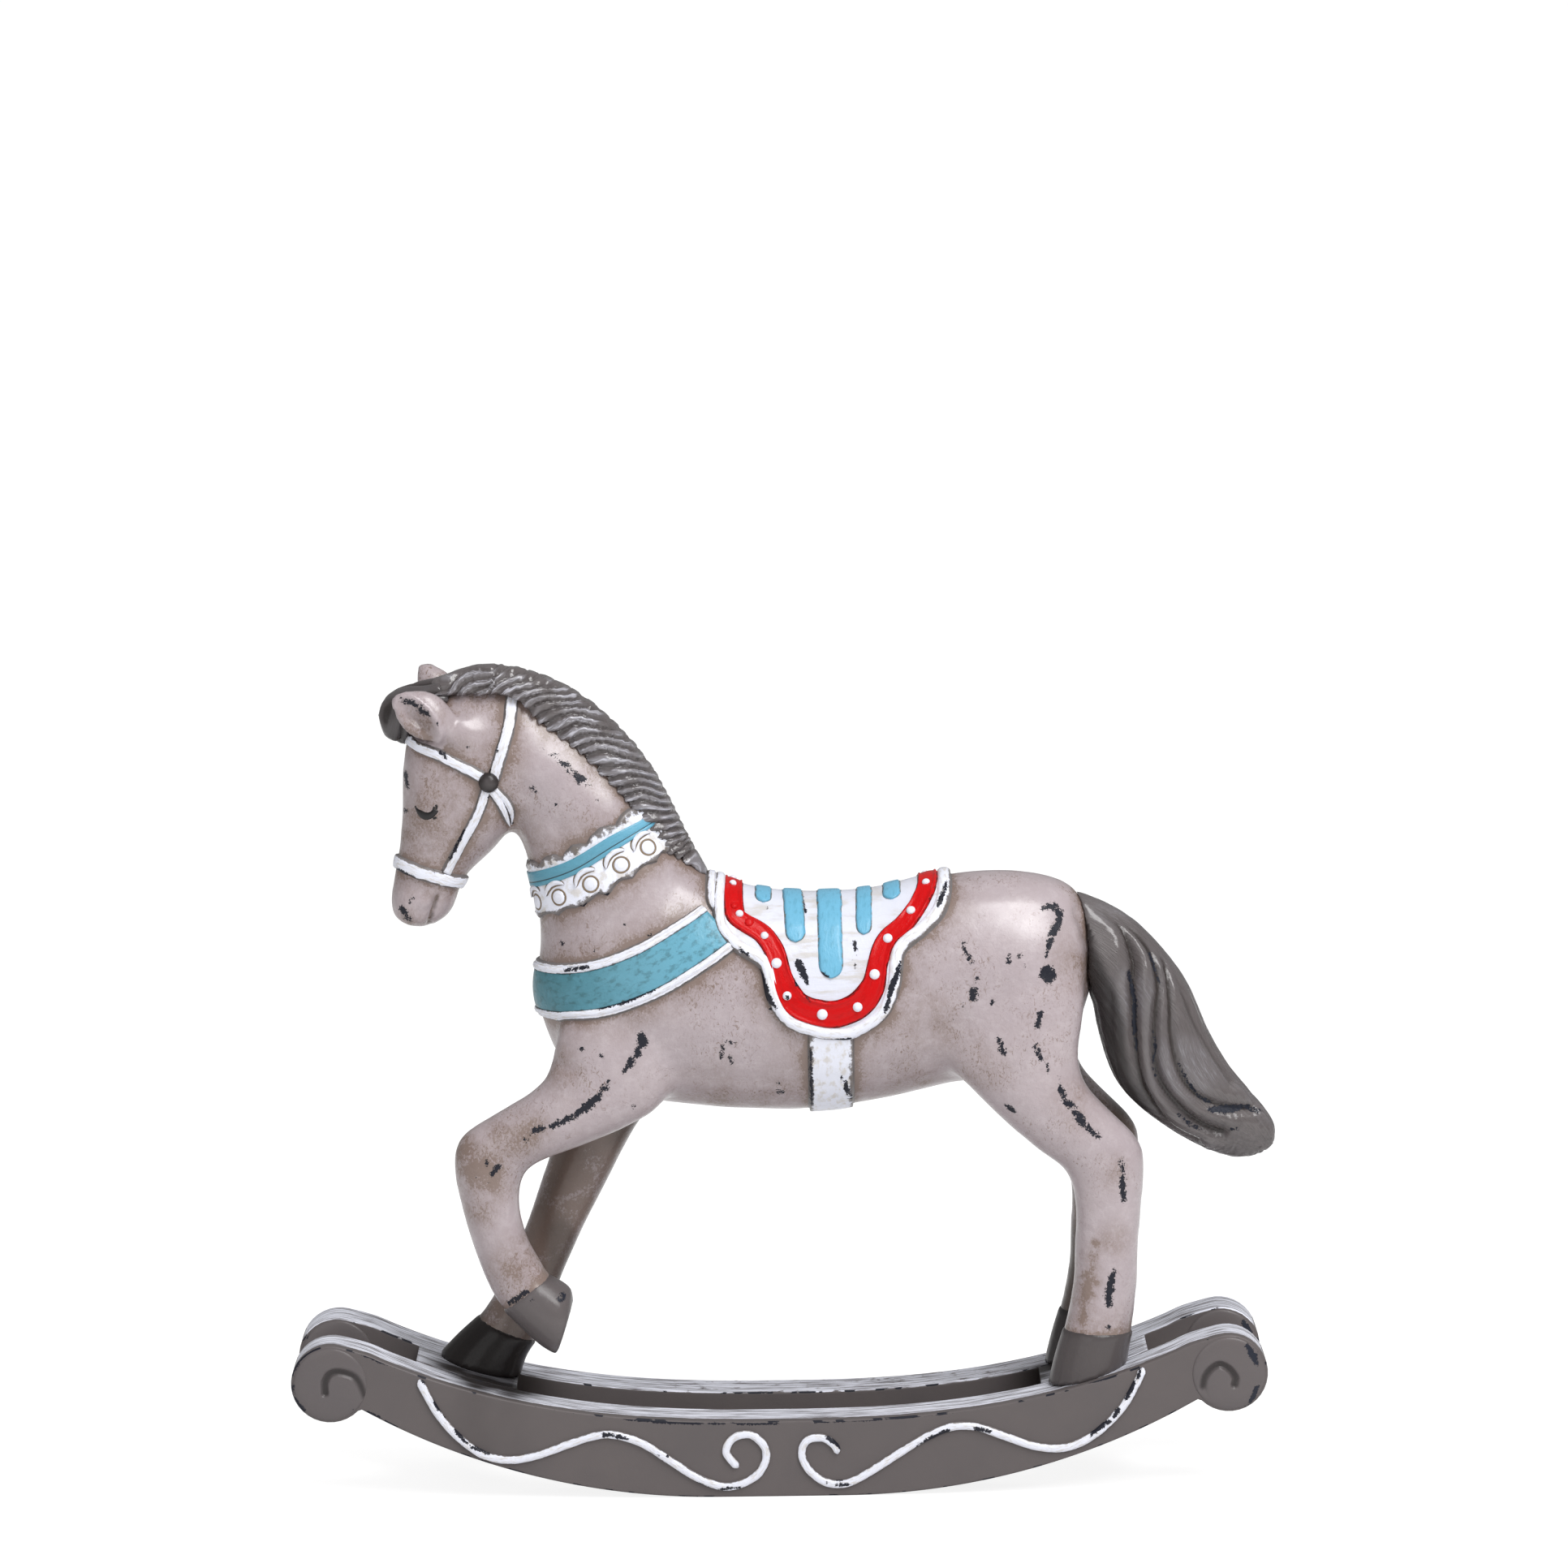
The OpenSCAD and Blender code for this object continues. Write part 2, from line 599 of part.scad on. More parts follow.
module saddle_cloth() {
    color(white_colour) carved() difference() {
        intersection() { skin(cloth_thickness); side_cut(saddle_outline); }
        trunk();
        legs_and_hair();
    }
}
module saddle_border() {
    color(red_colour) carved() difference() {
        intersection() {
            skin(cloth_thickness + 0.4);
            difference() { side_cut(red_outer); side_cut(red_inner); }
        }
        skin(cloth_thickness);
        legs_and_hair();
        stud_pins();
    }
}
module stripe_shapes() {
    for (s = stripe_places) side_cut(smooth_loop([
        [s[0] - s[1] / 2, 124], [s[0] - s[1] / 2, (124 + s[2]) / 2], [s[0], s[2]],
        [s[0] + s[1] / 2, (124 + s[2]) / 2], [s[0] + s[1] / 2, 124], [s[0], 128]], 2));
}
module saddle_stripes() {
    color(blue_colour) carved() difference() {
        intersection() {
            skin(cloth_thickness + 0.3);
            stripe_shapes();
            translate([-far, -far, stripe_top - far]) cube([2 * far, 2 * far, far]);
        }
        skin(cloth_thickness);
        legs_and_hair();
    }
}
module stud_pins() {
    for (p = stud_places) cross_pin(p, stud_radius, -far, far, 8);
}
module saddle_studs() {
    color(white_colour) carved() difference() {
        intersection() { skin(cloth_thickness + 1); stud_pins(); }
        skin(cloth_thickness);
    }
}
girth_x = [5.2, 14.2];
module girth_strap() {
    color(white_colour) carved() difference() {
        intersection() {
            skin(strap_thickness);
            translate([girth_x[0], -far, 60]) cube([girth_x[1] - girth_x[0], 2 * far, 50]);
        }
        trunk();
        side_cut(saddle_outline);
    }
}

module band(t, t0, t1) {
    intersection() { skin(t); side_cut(band_part(t0, t1)); }
}
module breast_band() {
    color(blue_colour) carved() difference() {
        band(strap_thickness, 0.12, 0.88);
        trunk();
        side_cut(saddle_outline);
        loft(mane_rows);
    }
}
module breast_band_piping() {
    color(white_colour) carved() difference() {
        union() {
            band(strap_thickness + 0.3, 0, 0.12);
            band(strap_thickness + 0.3, 0.88, 1);
        }
        trunk();
        side_cut(saddle_outline);
        loft(mane_rows);
    }
}

module collar_slice(t, t0, t1) {
    intersection() { skin(t); side_cut(collar_part(t0, t1)); }
}
module collar_lace() {
    color(white_colour) carved() difference() {
        collar_slice(0.8, 0, 1);
        trunk();
        loft(mane_rows);
    }
}
module collar_ribbon() {
    color(blue_colour) carved() difference() {
        collar_slice(1.1, 0.57, 0.83);
        collar_slice(0.8, 0, 1);
        trunk();
        loft(mane_rows);
    }
}
module collar_beads() {
    middle = collar_line(0.3);
    color(white_colour) carved() difference() {
        intersection() {
            skin(1.6);
            for (i = [0 : bead_count - 1]) cross_pin(middle[3 + 2 * i], bead_radius, -far, far, 10);
        }
        skin(0.8);
        loft(mane_rows);
    }
}

module boss_pins(grow) {
    cross_pin(boss_place, 2.2 + grow, -far, far, 16);
}
module head_strap(path, t) {
    difference() {
        intersection() { skin(t); side_cut(ribbon(path, strap_half)); }
        trunk();
        boss_pins(0);
        loft(mane_rows);
        loft(forelock_rows);
    }
}
module browband() { color(white_colour) carved() head_strap(brow_path, 0.8); }
module cheek_straps() {
    color(white_colour) carved() difference() { head_strap(cheek_path, 0.8); nose_cut(); }
}
module crown_strap() { color(white_colour) carved() head_strap(crown_path, 0.8); }
module throat_latch() {
    color(white_colour) carved() difference() {
        head_strap(latch_path, 0.8);
        side_cut(ribbon(cheek_path, strap_half));
    }
}
module nose_cut() { side_cut(ribbon(nose_path, 1.4)); }
module noseband() {
    color(white_colour) carved() difference() {
        intersection() { skin(1); nose_cut(); }
        trunk();
    }
}
module bridle_bosses() {
    color(dark_colour) carved() difference() {
        intersection() { skin(1.8); boss_pins(0); }
        trunk();
    }
}

rocker_rail_left();
rocker_rail_right();
front_plate();
rear_plate();
rail_vine_left();
rail_vine_right();
plate_dowels();
hoof_screws();
torso();
neck();
head();
ear_left();
ear_right();
eyelids();
forelock();
mane();
tail();
foreleg_left();
foreleg_right();
hind_leg_left();
hind_leg_right();
hoof_fore_left();
hoof_fore_right();
hoof_hind_left();
hoof_hind_right();
saddle_cloth();
saddle_border();
saddle_stripes();
saddle_studs();
girth_strap();
breast_band();
breast_band_piping();
collar_lace();
collar_ribbon();
collar_beads();
browband();
noseband();
cheek_straps();
crown_strap();
throat_latch();
bridle_bosses();
neck_dowel();
head_dowel();
tail_dowel();
leg_dowels();
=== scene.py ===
import math
import random

import bmesh
import bpy
import numpy as np
from mathutils import Euler, Matrix, Vector, noise
from mathutils.bvhtree import BVHTree
from mathutils.kdtree import KDTree


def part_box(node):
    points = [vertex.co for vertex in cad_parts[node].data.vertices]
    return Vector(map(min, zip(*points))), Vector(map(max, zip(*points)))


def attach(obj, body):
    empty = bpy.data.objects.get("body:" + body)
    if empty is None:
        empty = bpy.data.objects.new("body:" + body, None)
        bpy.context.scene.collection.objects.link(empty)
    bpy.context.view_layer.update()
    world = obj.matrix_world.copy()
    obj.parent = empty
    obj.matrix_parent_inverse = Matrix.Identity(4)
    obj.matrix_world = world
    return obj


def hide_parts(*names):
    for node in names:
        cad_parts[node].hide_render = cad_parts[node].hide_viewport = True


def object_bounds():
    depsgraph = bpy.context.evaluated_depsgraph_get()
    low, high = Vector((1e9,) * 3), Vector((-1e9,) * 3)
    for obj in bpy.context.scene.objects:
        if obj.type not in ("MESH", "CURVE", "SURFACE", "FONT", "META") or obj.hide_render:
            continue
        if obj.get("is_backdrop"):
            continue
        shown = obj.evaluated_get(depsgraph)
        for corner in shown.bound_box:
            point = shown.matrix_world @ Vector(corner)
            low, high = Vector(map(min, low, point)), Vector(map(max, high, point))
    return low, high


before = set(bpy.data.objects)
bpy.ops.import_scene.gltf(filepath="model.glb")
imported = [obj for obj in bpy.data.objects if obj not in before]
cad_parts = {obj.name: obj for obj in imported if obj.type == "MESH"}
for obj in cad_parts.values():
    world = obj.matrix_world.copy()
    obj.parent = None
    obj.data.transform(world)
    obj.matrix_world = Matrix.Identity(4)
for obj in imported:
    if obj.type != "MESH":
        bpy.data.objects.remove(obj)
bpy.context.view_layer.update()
mm = 0.001


def rgb(r, g, b):
    # a colour as seen on screen, 0 to 255, into linear values
    out = []
    for c in (r, g, b):
        c /= 255
        out.append(c / 12.92 if c <= 0.04045 else ((c + 0.055) / 1.055) ** 2.4)
    return (*out, 1)


def smoothStep(a, b, x):
    t = min(max((x - a) / (b - a), 0), 1)
    return t * t * (3 - 2 * t)


def betweenPoints(a, b, c, d, t):
    # Catmull-Rom from b to c
    bend, twist = 2 * a - 5 * b + 4 * c - d, 3 * b - a - 3 * c + d
    return 0.5 * (2 * b + (c - a) * t + bend * t * t + twist * t ** 3)


def smoothLine(points, steps):
    # a smooth line through all points
    pts = [Vector(p) for p in points]
    out = []
    for i in range(len(pts) - 1):
        a, b, c, d = pts[max(i - 1, 0)], pts[i], pts[i + 1], pts[min(i + 2, len(pts) - 1)]
        out += [betweenPoints(a, b, c, d, k / steps) for k in range(steps)]
    return out + [pts[-1]]


def newObject(name, bm, material=None, smooth=True):
    mesh = bpy.data.meshes.new(name)
    bm.to_mesh(mesh)
    bm.free()
    obj = bpy.data.objects.new(name, mesh)
    bpy.context.scene.collection.objects.link(obj)
    for p in mesh.polygons:
        p.use_smooth = smooth
    if material:
        mesh.materials.append(material)
    return obj


def addMesh(bm, part):
    # pours one bmesh into another
    temp = bpy.data.meshes.new("temp")
    part.to_mesh(temp)
    part.free()
    bm.from_mesh(temp)
    bpy.data.meshes.remove(temp)


def joinedCopy(name, nodes):
    # copies of CAD nodes in one mesh, with their loose triangles merged
    bm = bmesh.new()
    for n in nodes:
        part = bmesh.new()
        part.from_mesh(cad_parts[n].data)
        bmesh.ops.remove_doubles(part, verts=part.verts, dist=1e-6)
        addMesh(bm, part)
    return newObject(name, bm)


def closeUp(bm, ends=True):
    # merges the seams, caps the ends and turns every face outwards
    bmesh.ops.remove_doubles(bm, verts=bm.verts, dist=2e-6)
    if ends:
        bmesh.ops.holes_fill(bm, edges=[e for e in bm.edges if e.is_boundary], sides=0)
    bmesh.ops.recalc_face_normals(bm, faces=bm.faces)


def voxelSkin(obj, size):
    # one closed skin over everything in the mesh
    mod = obj.modifiers.new("skin", "REMESH")
    mod.mode = "VOXEL"
    mod.voxel_size = size * mm
    mod.adaptivity = 0
    dg = bpy.context.evaluated_depsgraph_get()
    mesh = bpy.data.meshes.new_from_object(obj.evaluated_get(dg))
    obj.modifiers.clear()
    old = obj.data
    obj.data = mesh
    bpy.data.meshes.remove(old)
    for p in mesh.polygons:
        p.use_smooth = True
    return obj


def meshArrays(obj):
    n = len(obj.data.vertices)
    co = np.zeros(n * 3)
    no = np.zeros(n * 3)
    obj.data.vertices.foreach_get("co", co)
    obj.data.vertices.foreach_get("normal", no)
    return co.reshape(-1, 3) / mm, no.reshape(-1, 3)


def setPlaces(obj, co):
    obj.data.vertices.foreach_set("co", (co * mm).ravel())
    obj.data.update()


def evened(obj, p, passes):
    # each place drawn half way to the mean of its neighbours, again and again
    count = len(p)
    pairs = np.zeros(len(obj.data.edges) * 2, dtype=np.int32)
    obj.data.edges.foreach_get("vertices", pairs)
    a, b = pairs[0::2], pairs[1::2]
    degree = (np.bincount(a, minlength=count) + np.bincount(b, minlength=count))[:, None]
    for _ in range(passes):
        sums = [np.bincount(a, p[b, k], count) + np.bincount(b, p[a, k], count) for k in range(3)]
        p = 0.5 * (p + np.stack(sums, axis=1) / degree)
    return p


def relax(obj, passes, hold=None):
    # evens out a skin, then puts back the size that the smoothing took
    co = meshArrays(obj)[0]
    first = evened(obj, co, passes)
    even = 2 * first - evened(obj, first, passes)
    if hold is not None:
        even += (co - even) * hold(co)[:, None]
    setPlaces(obj, even)
    return obj


def smoothArray(x, a, b):
    t = np.clip((x - a) / (b - a), 0, 1)
    return t * t * (3 - 2 * t)


def nearSpots(spots):
    # 1 in the middle of each ball (x, y, z, radius), 0 outside all of them
    def share(co):
        out = np.zeros(len(co))
        for x, y, z, radius in spots:
            d = np.linalg.norm(co - np.array([x, y, z]), axis=1) / radius
            out = np.maximum(out, np.clip(2.2 - 2.2 * d, 0, 1))
        return out
    return share


def setField(obj, name, values):
    # a number for each vertex, which the materials read by name
    layer = obj.data.attributes.get(name) or obj.data.attributes.new(name, "FLOAT", "POINT")
    layer.data.foreach_set("value", np.asarray(values, dtype=np.float32))


def setLay(obj, across, along):
    # coordinates in mm that the brushed paint follows
    layer = obj.data.attributes.new("lay", "FLOAT_VECTOR", "POINT")
    both = np.stack([across, along, np.zeros(len(along))], axis=1)
    layer.data.foreach_set("vector", both.astype(np.float32).ravel())


def strokeDistance(co, strokes):
    # signed distance in mm to the nearest of several tapered strokes; below zero is inside
    # a stroke is [(x, z, half-width), ...]
    p = co[:, (0, 2)]
    best = np.full(len(p), 4.0)
    for stroke in strokes:
        rows = stroke if len(stroke) > 1 else [stroke[0], stroke[0]]
        for a, b in zip(rows[:-1], rows[1:]):
            pa = np.array(a[:2])
            d = np.array(b[:2]) - pa
            t = np.clip(((p - pa) @ d) / max(d @ d, 1e-9), 0, 1)
            w = a[2] + (b[2] - a[2]) * t
            dist = np.linalg.norm(p - (pa + t[:, None] * d), axis=1) - w
            best = np.minimum(best, dist)
    return best


def sideStrokes(co, near, far=None):
    # strokes seen from each side: the horse's left is at -Y
    return np.where(co[:, 1] < 0, strokeDistance(co, near), strokeDistance(co, near if far is None else far))


def hairline(line, steps, half=0.0):
    # a stroke of one half-width through a drawn line
    return [(x, z, half) for x, z in smoothLine(line, steps)]


def ovalReach(co, middle, angle, half):
    # seen from the side: 0 in the middle of a slanted oval, 1 on its rim
    c, s = math.cos(math.radians(angle)), math.sin(math.radians(angle))
    right, up = co[:, 0] - middle[0], co[:, 2] - middle[1]
    return np.hypot((right * c + up * s) / half[0], (up * c - right * s) / half[1])


def drift(co, scale, seed):
    # slow noise over the places, about -0.5 to 0.5
    return np.array([noise.noise(Vector(p) * scale + Vector((seed, seed * 2, 0))) for p in co])


def shuffled(strokes, seed, shift=1.6):
    # the same kind of damage for the other side, at other places
    rnd = random.Random(seed)
    out = []
    for stroke in strokes:
        if rnd.random() < 0.3:
            continue
        dx, dz, grow = rnd.uniform(-shift, shift), rnd.uniform(-shift, shift), rnd.uniform(0.7, 1.15)
        out.append([(x + dx, z + dz, w * grow) for x, z, w in stroke])
    return out


def startGroup(name, inputs, outputs):
    # an input without a value takes a place, the others take numbers
    tree = bpy.data.node_groups.new(name, "ShaderNodeTree")
    for label, value in inputs.items():
        kind = "NodeSocketVector" if value is None else "NodeSocketFloat"
        socket = tree.interface.new_socket(label, in_out="INPUT", socket_type=kind)
        if value is not None:
            socket.default_value = value
    for label in outputs:
        tree.interface.new_socket(label, in_out="OUTPUT", socket_type="NodeSocketFloat")
    return tree, tree.nodes.new("NodeGroupInput"), tree.nodes.new("NodeGroupOutput")


def feed(tree, value, socket):
    # a plain value is set on the socket, another node's output is linked to it
    if isinstance(value, (int, float, tuple)):
        socket.default_value = value
    elif value is not None:
        tree.links.new(value, socket)


def mathNode(tree, kind, a, b=None, clamp=False):
    node = tree.nodes.new("ShaderNodeMath")
    node.operation = kind
    node.use_clamp = clamp
    feed(tree, a, node.inputs[0])
    feed(tree, b, node.inputs[1])
    return node.outputs[0]


def times(tree, a, b, clamp=False):
    return mathNode(tree, "MULTIPLY", a, b, clamp)


def plus(tree, a, b, clamp=False):
    return mathNode(tree, "ADD", a, b, clamp)


def minus(tree, a, b, clamp=False):
    return mathNode(tree, "SUBTRACT", a, b, clamp)


def rangeNode(tree, value, a, b, c=0.0, d=1.0):
    node = tree.nodes.new("ShaderNodeMapRange")
    node.interpolation_type = "SMOOTHSTEP"
    for i, v in enumerate((value, a, b, c, d)):
        feed(tree, v, node.inputs[i])
    return node.outputs[0]


def noiseNode(tree, vector, scale, detail=3.0, rough=0.55, warp=0.0):
    node = tree.nodes.new("ShaderNodeTexNoise")
    feed(tree, vector, node.inputs["Vector"])
    for label, v in (("Scale", scale), ("Detail", detail), ("Roughness", rough), ("Distortion", warp)):
        feed(tree, v, node.inputs[label])
    return node.outputs["Fac"]


def mixNode(tree, fac, a, b):
    node = tree.nodes.new("ShaderNodeMix")
    node.data_type = "RGBA"
    node.clamp_factor = True
    for i, v in ((0, fac), (6, a), (7, b)):
        feed(tree, v, node.inputs[i])
    return node.outputs[2]


def stretchNode(tree, vector, scale):
    node = tree.nodes.new("ShaderNodeMapping")
    feed(tree, scale, node.inputs["Scale"])
    feed(tree, vector, node.inputs["Vector"])
    return node.outputs[0]


def attributeNode(tree, name, output="Fac"):
    node = tree.nodes.new("ShaderNodeAttribute")
    node.attribute_name = name
    return node.outputs[output]


def splitNode(tree, vector, axis):
    node = tree.nodes.new("ShaderNodeSeparateXYZ")
    tree.links.new(vector, node.inputs[0])
    return node.outputs[axis]


def makeChipGroup():
    # paint broken off along a drawn stroke, with jagged edges
    inputs = {"Place": None, "Distance": 4.0, "Ragged": 0.5, "Flecks": 0.0}
    tree, i, o = startGroup("paintChips", inputs, ("Mask", "Edge"))
    p, flecks = i.outputs["Place"], i.outputs["Flecks"]
    coarse = minus(tree, noiseNode(tree, p, 1000.0, 2.0, 0.65), 0.5)
    fine = minus(tree, noiseNode(tree, p, 3200.0, 2.0, 0.65), 0.5)
    both = plus(tree, coarse, times(tree, fine, 0.95))
    field = plus(tree, i.outputs["Distance"], times(tree, both, times(tree, i.outputs["Ragged"], 3.4)))
    # loose flecks, rare and small
    cells = tree.nodes.new("ShaderNodeTexVoronoi")
    cells.inputs["Scale"].default_value = 190.0
    tree.links.new(p, cells.inputs["Vector"])
    size = times(tree, rangeNode(tree, noiseNode(tree, p, 150.0, 1.0), 0.52, 0.75), times(tree, flecks, 0.16))
    rough = plus(tree, cells.outputs["Distance"], times(tree, coarse, 0.12))
    wanted = mathNode(tree, "GREATER_THAN", flecks, 0.01)
    fleck = times(tree, mathNode(tree, "LESS_THAN", rough, size), wanted)
    drawn = rangeNode(tree, field, 0.1, -0.04)
    tree.links.new(mathNode(tree, "MAXIMUM", drawn, fleck, True), o.inputs["Mask"])
    tree.links.new(rangeNode(tree, field, 0.42, 0.1), o.inputs["Edge"])
    return tree


def makeWashAndShadeGroup():
    # thin brown wash, which also carries painted shade: soft where it was wiped, streaked and speckled where
    # the brush was dry
    tree, i, o = startGroup("brownWashAndShade", {"Place": None, "Amount": 0.5, "Speckle": 0.5}, ("Mask",))
    p, amount = i.outputs["Place"], i.outputs["Amount"]
    cloud = noiseNode(tree, p, 170.0, 4.0, 0.6, 0.4)
    grain = noiseNode(tree, p, 1700.0, 4.0, 0.7)
    hairs = noiseNode(tree, stretchNode(tree, p, (1250.0, 800.0, 800.0)), 1.0, 4.0, 0.7, 1.6)
    soft = times(tree, amount, rangeNode(tree, cloud, 0.3, 0.62, 0.45, 1.15))
    soft = times(tree, soft, rangeNode(tree, hairs, 0.34, 0.6, 0.55, 1.1))
    level = minus(tree, 0.7, times(tree, amount, 0.26))
    mottle = plus(tree, times(tree, grain, 0.6), times(tree, cloud, 0.42))
    dots = rangeNode(tree, mottle, level, plus(tree, level, 0.1))
    patches = rangeNode(tree, noiseNode(tree, p, 95.0, 2.0), 0.45, 0.64)
    patches = times(tree, patches, rangeNode(tree, hairs, 0.55, 0.64))
    speck = plus(tree, times(tree, dots, amount), times(tree, patches, 0.7))
    speck = times(tree, speck, i.outputs["Speckle"])
    tree.links.new(plus(tree, soft, speck, True), o.inputs["Mask"])
    return tree


def makeBrushGroup():
    # strokes of a stiff brush along a direction
    tree, i, o = startGroup("brushMarks", {"Vector": None, "Low": 0.35, "High": 0.65}, ("Mask", "Height"))
    strokes = noiseNode(tree, i.outputs["Vector"], 1.0, 4.0, 0.6)
    tree.links.new(rangeNode(tree, strokes, i.outputs["Low"], i.outputs["High"]), o.inputs["Mask"])
    tree.links.new(strokes, o.inputs["Height"])
    return tree


def makeSurfaceGroup():
    # hand-painted resin: slow swells, brush ripple and dust grain in one height, and colour drift
    inputs = {"Place": None, "Ripple": 0.5, "Grain": 0.5}
    tree, i, o = startGroup("castPaint", inputs, ("Height", "Drift", "Rub"))
    p = i.outputs["Place"]
    swell = times(tree, noiseNode(tree, p, 260.0, 2.0, 0.5), 0.5)
    ripple = times(tree, noiseNode(tree, p, 900.0, 3.0, 0.6, 0.6), times(tree, i.outputs["Ripple"], 0.5))
    grain = times(tree, noiseNode(tree, p, 4200.0, 2.0, 0.6), times(tree, i.outputs["Grain"], 0.12))
    tree.links.new(plus(tree, swell, plus(tree, ripple, grain)), o.inputs["Height"])
    tree.links.new(noiseNode(tree, p, 75.0, 3.0, 0.55, 0.3), o.inputs["Drift"])
    tree.links.new(rangeNode(tree, noiseNode(tree, p, 420.0, 4.0, 0.65), 0.45, 0.7), o.inputs["Rub"])
    return tree


groups = {"chips": makeChipGroup(), "washAndShade": makeWashAndShadeGroup(), "brush": makeBrushGroup(),
          "surface": makeSurfaceGroup()}
print("node groups made")


def place(tree):
    return tree.nodes.new("ShaderNodeTexCoord").outputs["Object"]


def useGroup(tree, key, **values):
    node = tree.nodes.new("ShaderNodeGroup")
    node.node_tree = groups[key]
    for label, v in values.items():
        feed(tree, v, node.inputs[label])
    return node


def startMaterial(name, roughness, coat=0.0, coatRoughness=0.3, specular=0.5):
    mat = bpy.data.materials.new(name)
    mat.use_nodes = True
    tree = mat.node_tree
    shader = tree.nodes["Principled BSDF"]
    shader.inputs["Roughness"].default_value = roughness
    shader.inputs["Coat Weight"].default_value = coat
    shader.inputs["Coat Roughness"].default_value = coatRoughness
    shader.inputs["Specular IOR Level"].default_value = specular
    return mat, tree, shader


def dullWhere(tree, shader, mask):
    # no varnish left where the paint is gone or dirt lies
    weight = shader.inputs["Coat Weight"].default_value
    keepIt = minus(tree, 1.0, mask, True)
    tree.links.new(times(tree, keepIt, weight), shader.inputs["Coat Weight"])


def bumpInto(tree, shader, height, distance, strength):
    node = tree.nodes.new("ShaderNodeBump")
    node.inputs["Strength"].default_value = strength
    node.inputs["Distance"].default_value = distance
    tree.links.new(height, node.inputs["Height"])
    tree.links.new(node.outputs[0], shader.inputs["Normal"])


# colours as seen on screen
paint = {
    "coat": (177, 164, 167), "coatCool": (167, 155, 160), "coatLight": (200, 190, 194),
    "washAndShade": (112, 90, 74), "deepBrownAndShade": (66, 52, 44), "chip": (34, 35, 44), "chipEdge": (120, 108, 100),
    "taupe": (101, 94, 93), "taupeCool": (92, 87, 89), "taupeDark": (56, 48, 45),
    "taupeLight": (188, 187, 196), "taupeChip": (38, 41, 52), "blackAndShade": (22, 18, 17),
    "railCool": (90, 85, 86), "railUnder": (78, 70, 69), "darkPatch": (30, 24, 21),
    "white": (228, 230, 241), "whiteWarm": (203, 197, 190), "whiteEdge": (78, 66, 56),
    "seat": (214, 216, 228), "seatWorn": (192, 186, 178),
    "teal": (76, 126, 138), "tealDark": (56, 92, 96), "tealLight": (104, 164, 186), "tealEdge": (62, 66, 62),
    "stripe": (108, 174, 204), "stripeDark": (80, 142, 164), "stripeEdge": (120, 104, 82),
    "ribbon": (90, 148, 168), "ribbonEdge": (52, 62, 62),
    "red": (196, 5, 9), "redWorn": (168, 4, 6), "redEdge": (78, 14, 12),
    "lid": (24, 21, 23), "line": (138, 120, 98), "lineDark": (112, 96, 78),
    "wood": (196, 162, 112), "woodDark": (160, 122, 76),
    "steel": (150, 154, 160), "steelDark": (130, 134, 140),
}
tone = {k: rgb(*v) for k, v in paint.items()}


def coatMaterial():
    # taupe coat with brown wash and painted shade, chips down to the dark primer, satin varnish
    mat, tree, shader = startMaterial("horseCoat", 0.3, 1.0, 0.26, 0.25)
    p = place(tree)
    surface = useGroup(tree, "surface", Place=p, Ripple=1.0, Grain=0.7)
    washAndShade = useGroup(tree, "washAndShade", Place=p, Amount=attributeNode(tree, "washAndShade"), Speckle=1.0)
    chips = useGroup(tree, "chips", Place=p, Distance=attributeNode(tree, "chip"), Ragged=0.56, Flecks=0.5)
    base = tone["coat"]
    for mask, colour in (
        (surface.outputs["Drift"], "coatCool"),
        (times(tree, surface.outputs["Rub"], 0.25), "coatLight"),
        # brown wash and painted shade
        (times(tree, washAndShade.outputs["Mask"], 0.8), "washAndShade"),
        # deep brown: painted shade on the far legs, and the dark mouth line
        (attributeNode(tree, "inkAndShade"), "deepBrownAndShade"),
        (times(tree, chips.outputs["Edge"], 0.12), "chipEdge"),
        (chips.outputs["Mask"], "chip"),
    ):
        base = mixNode(tree, mask, base, tone[colour])
    tree.links.new(base, shader.inputs["Base Color"])
    rough = rangeNode(tree, surface.outputs["Rub"], 0.0, 1.0, 0.4, 0.26)
    rough = plus(tree, rough, times(tree, washAndShade.outputs["Mask"], 0.15), True)
    tree.links.new(rough, shader.inputs["Roughness"])
    dullWhere(tree, shader, chips.outputs["Mask"])
    height = minus(tree, surface.outputs["Height"], times(tree, chips.outputs["Mask"], 0.8))
    bumpInto(tree, shader, height, 0.0004, 0.8)
    return mat


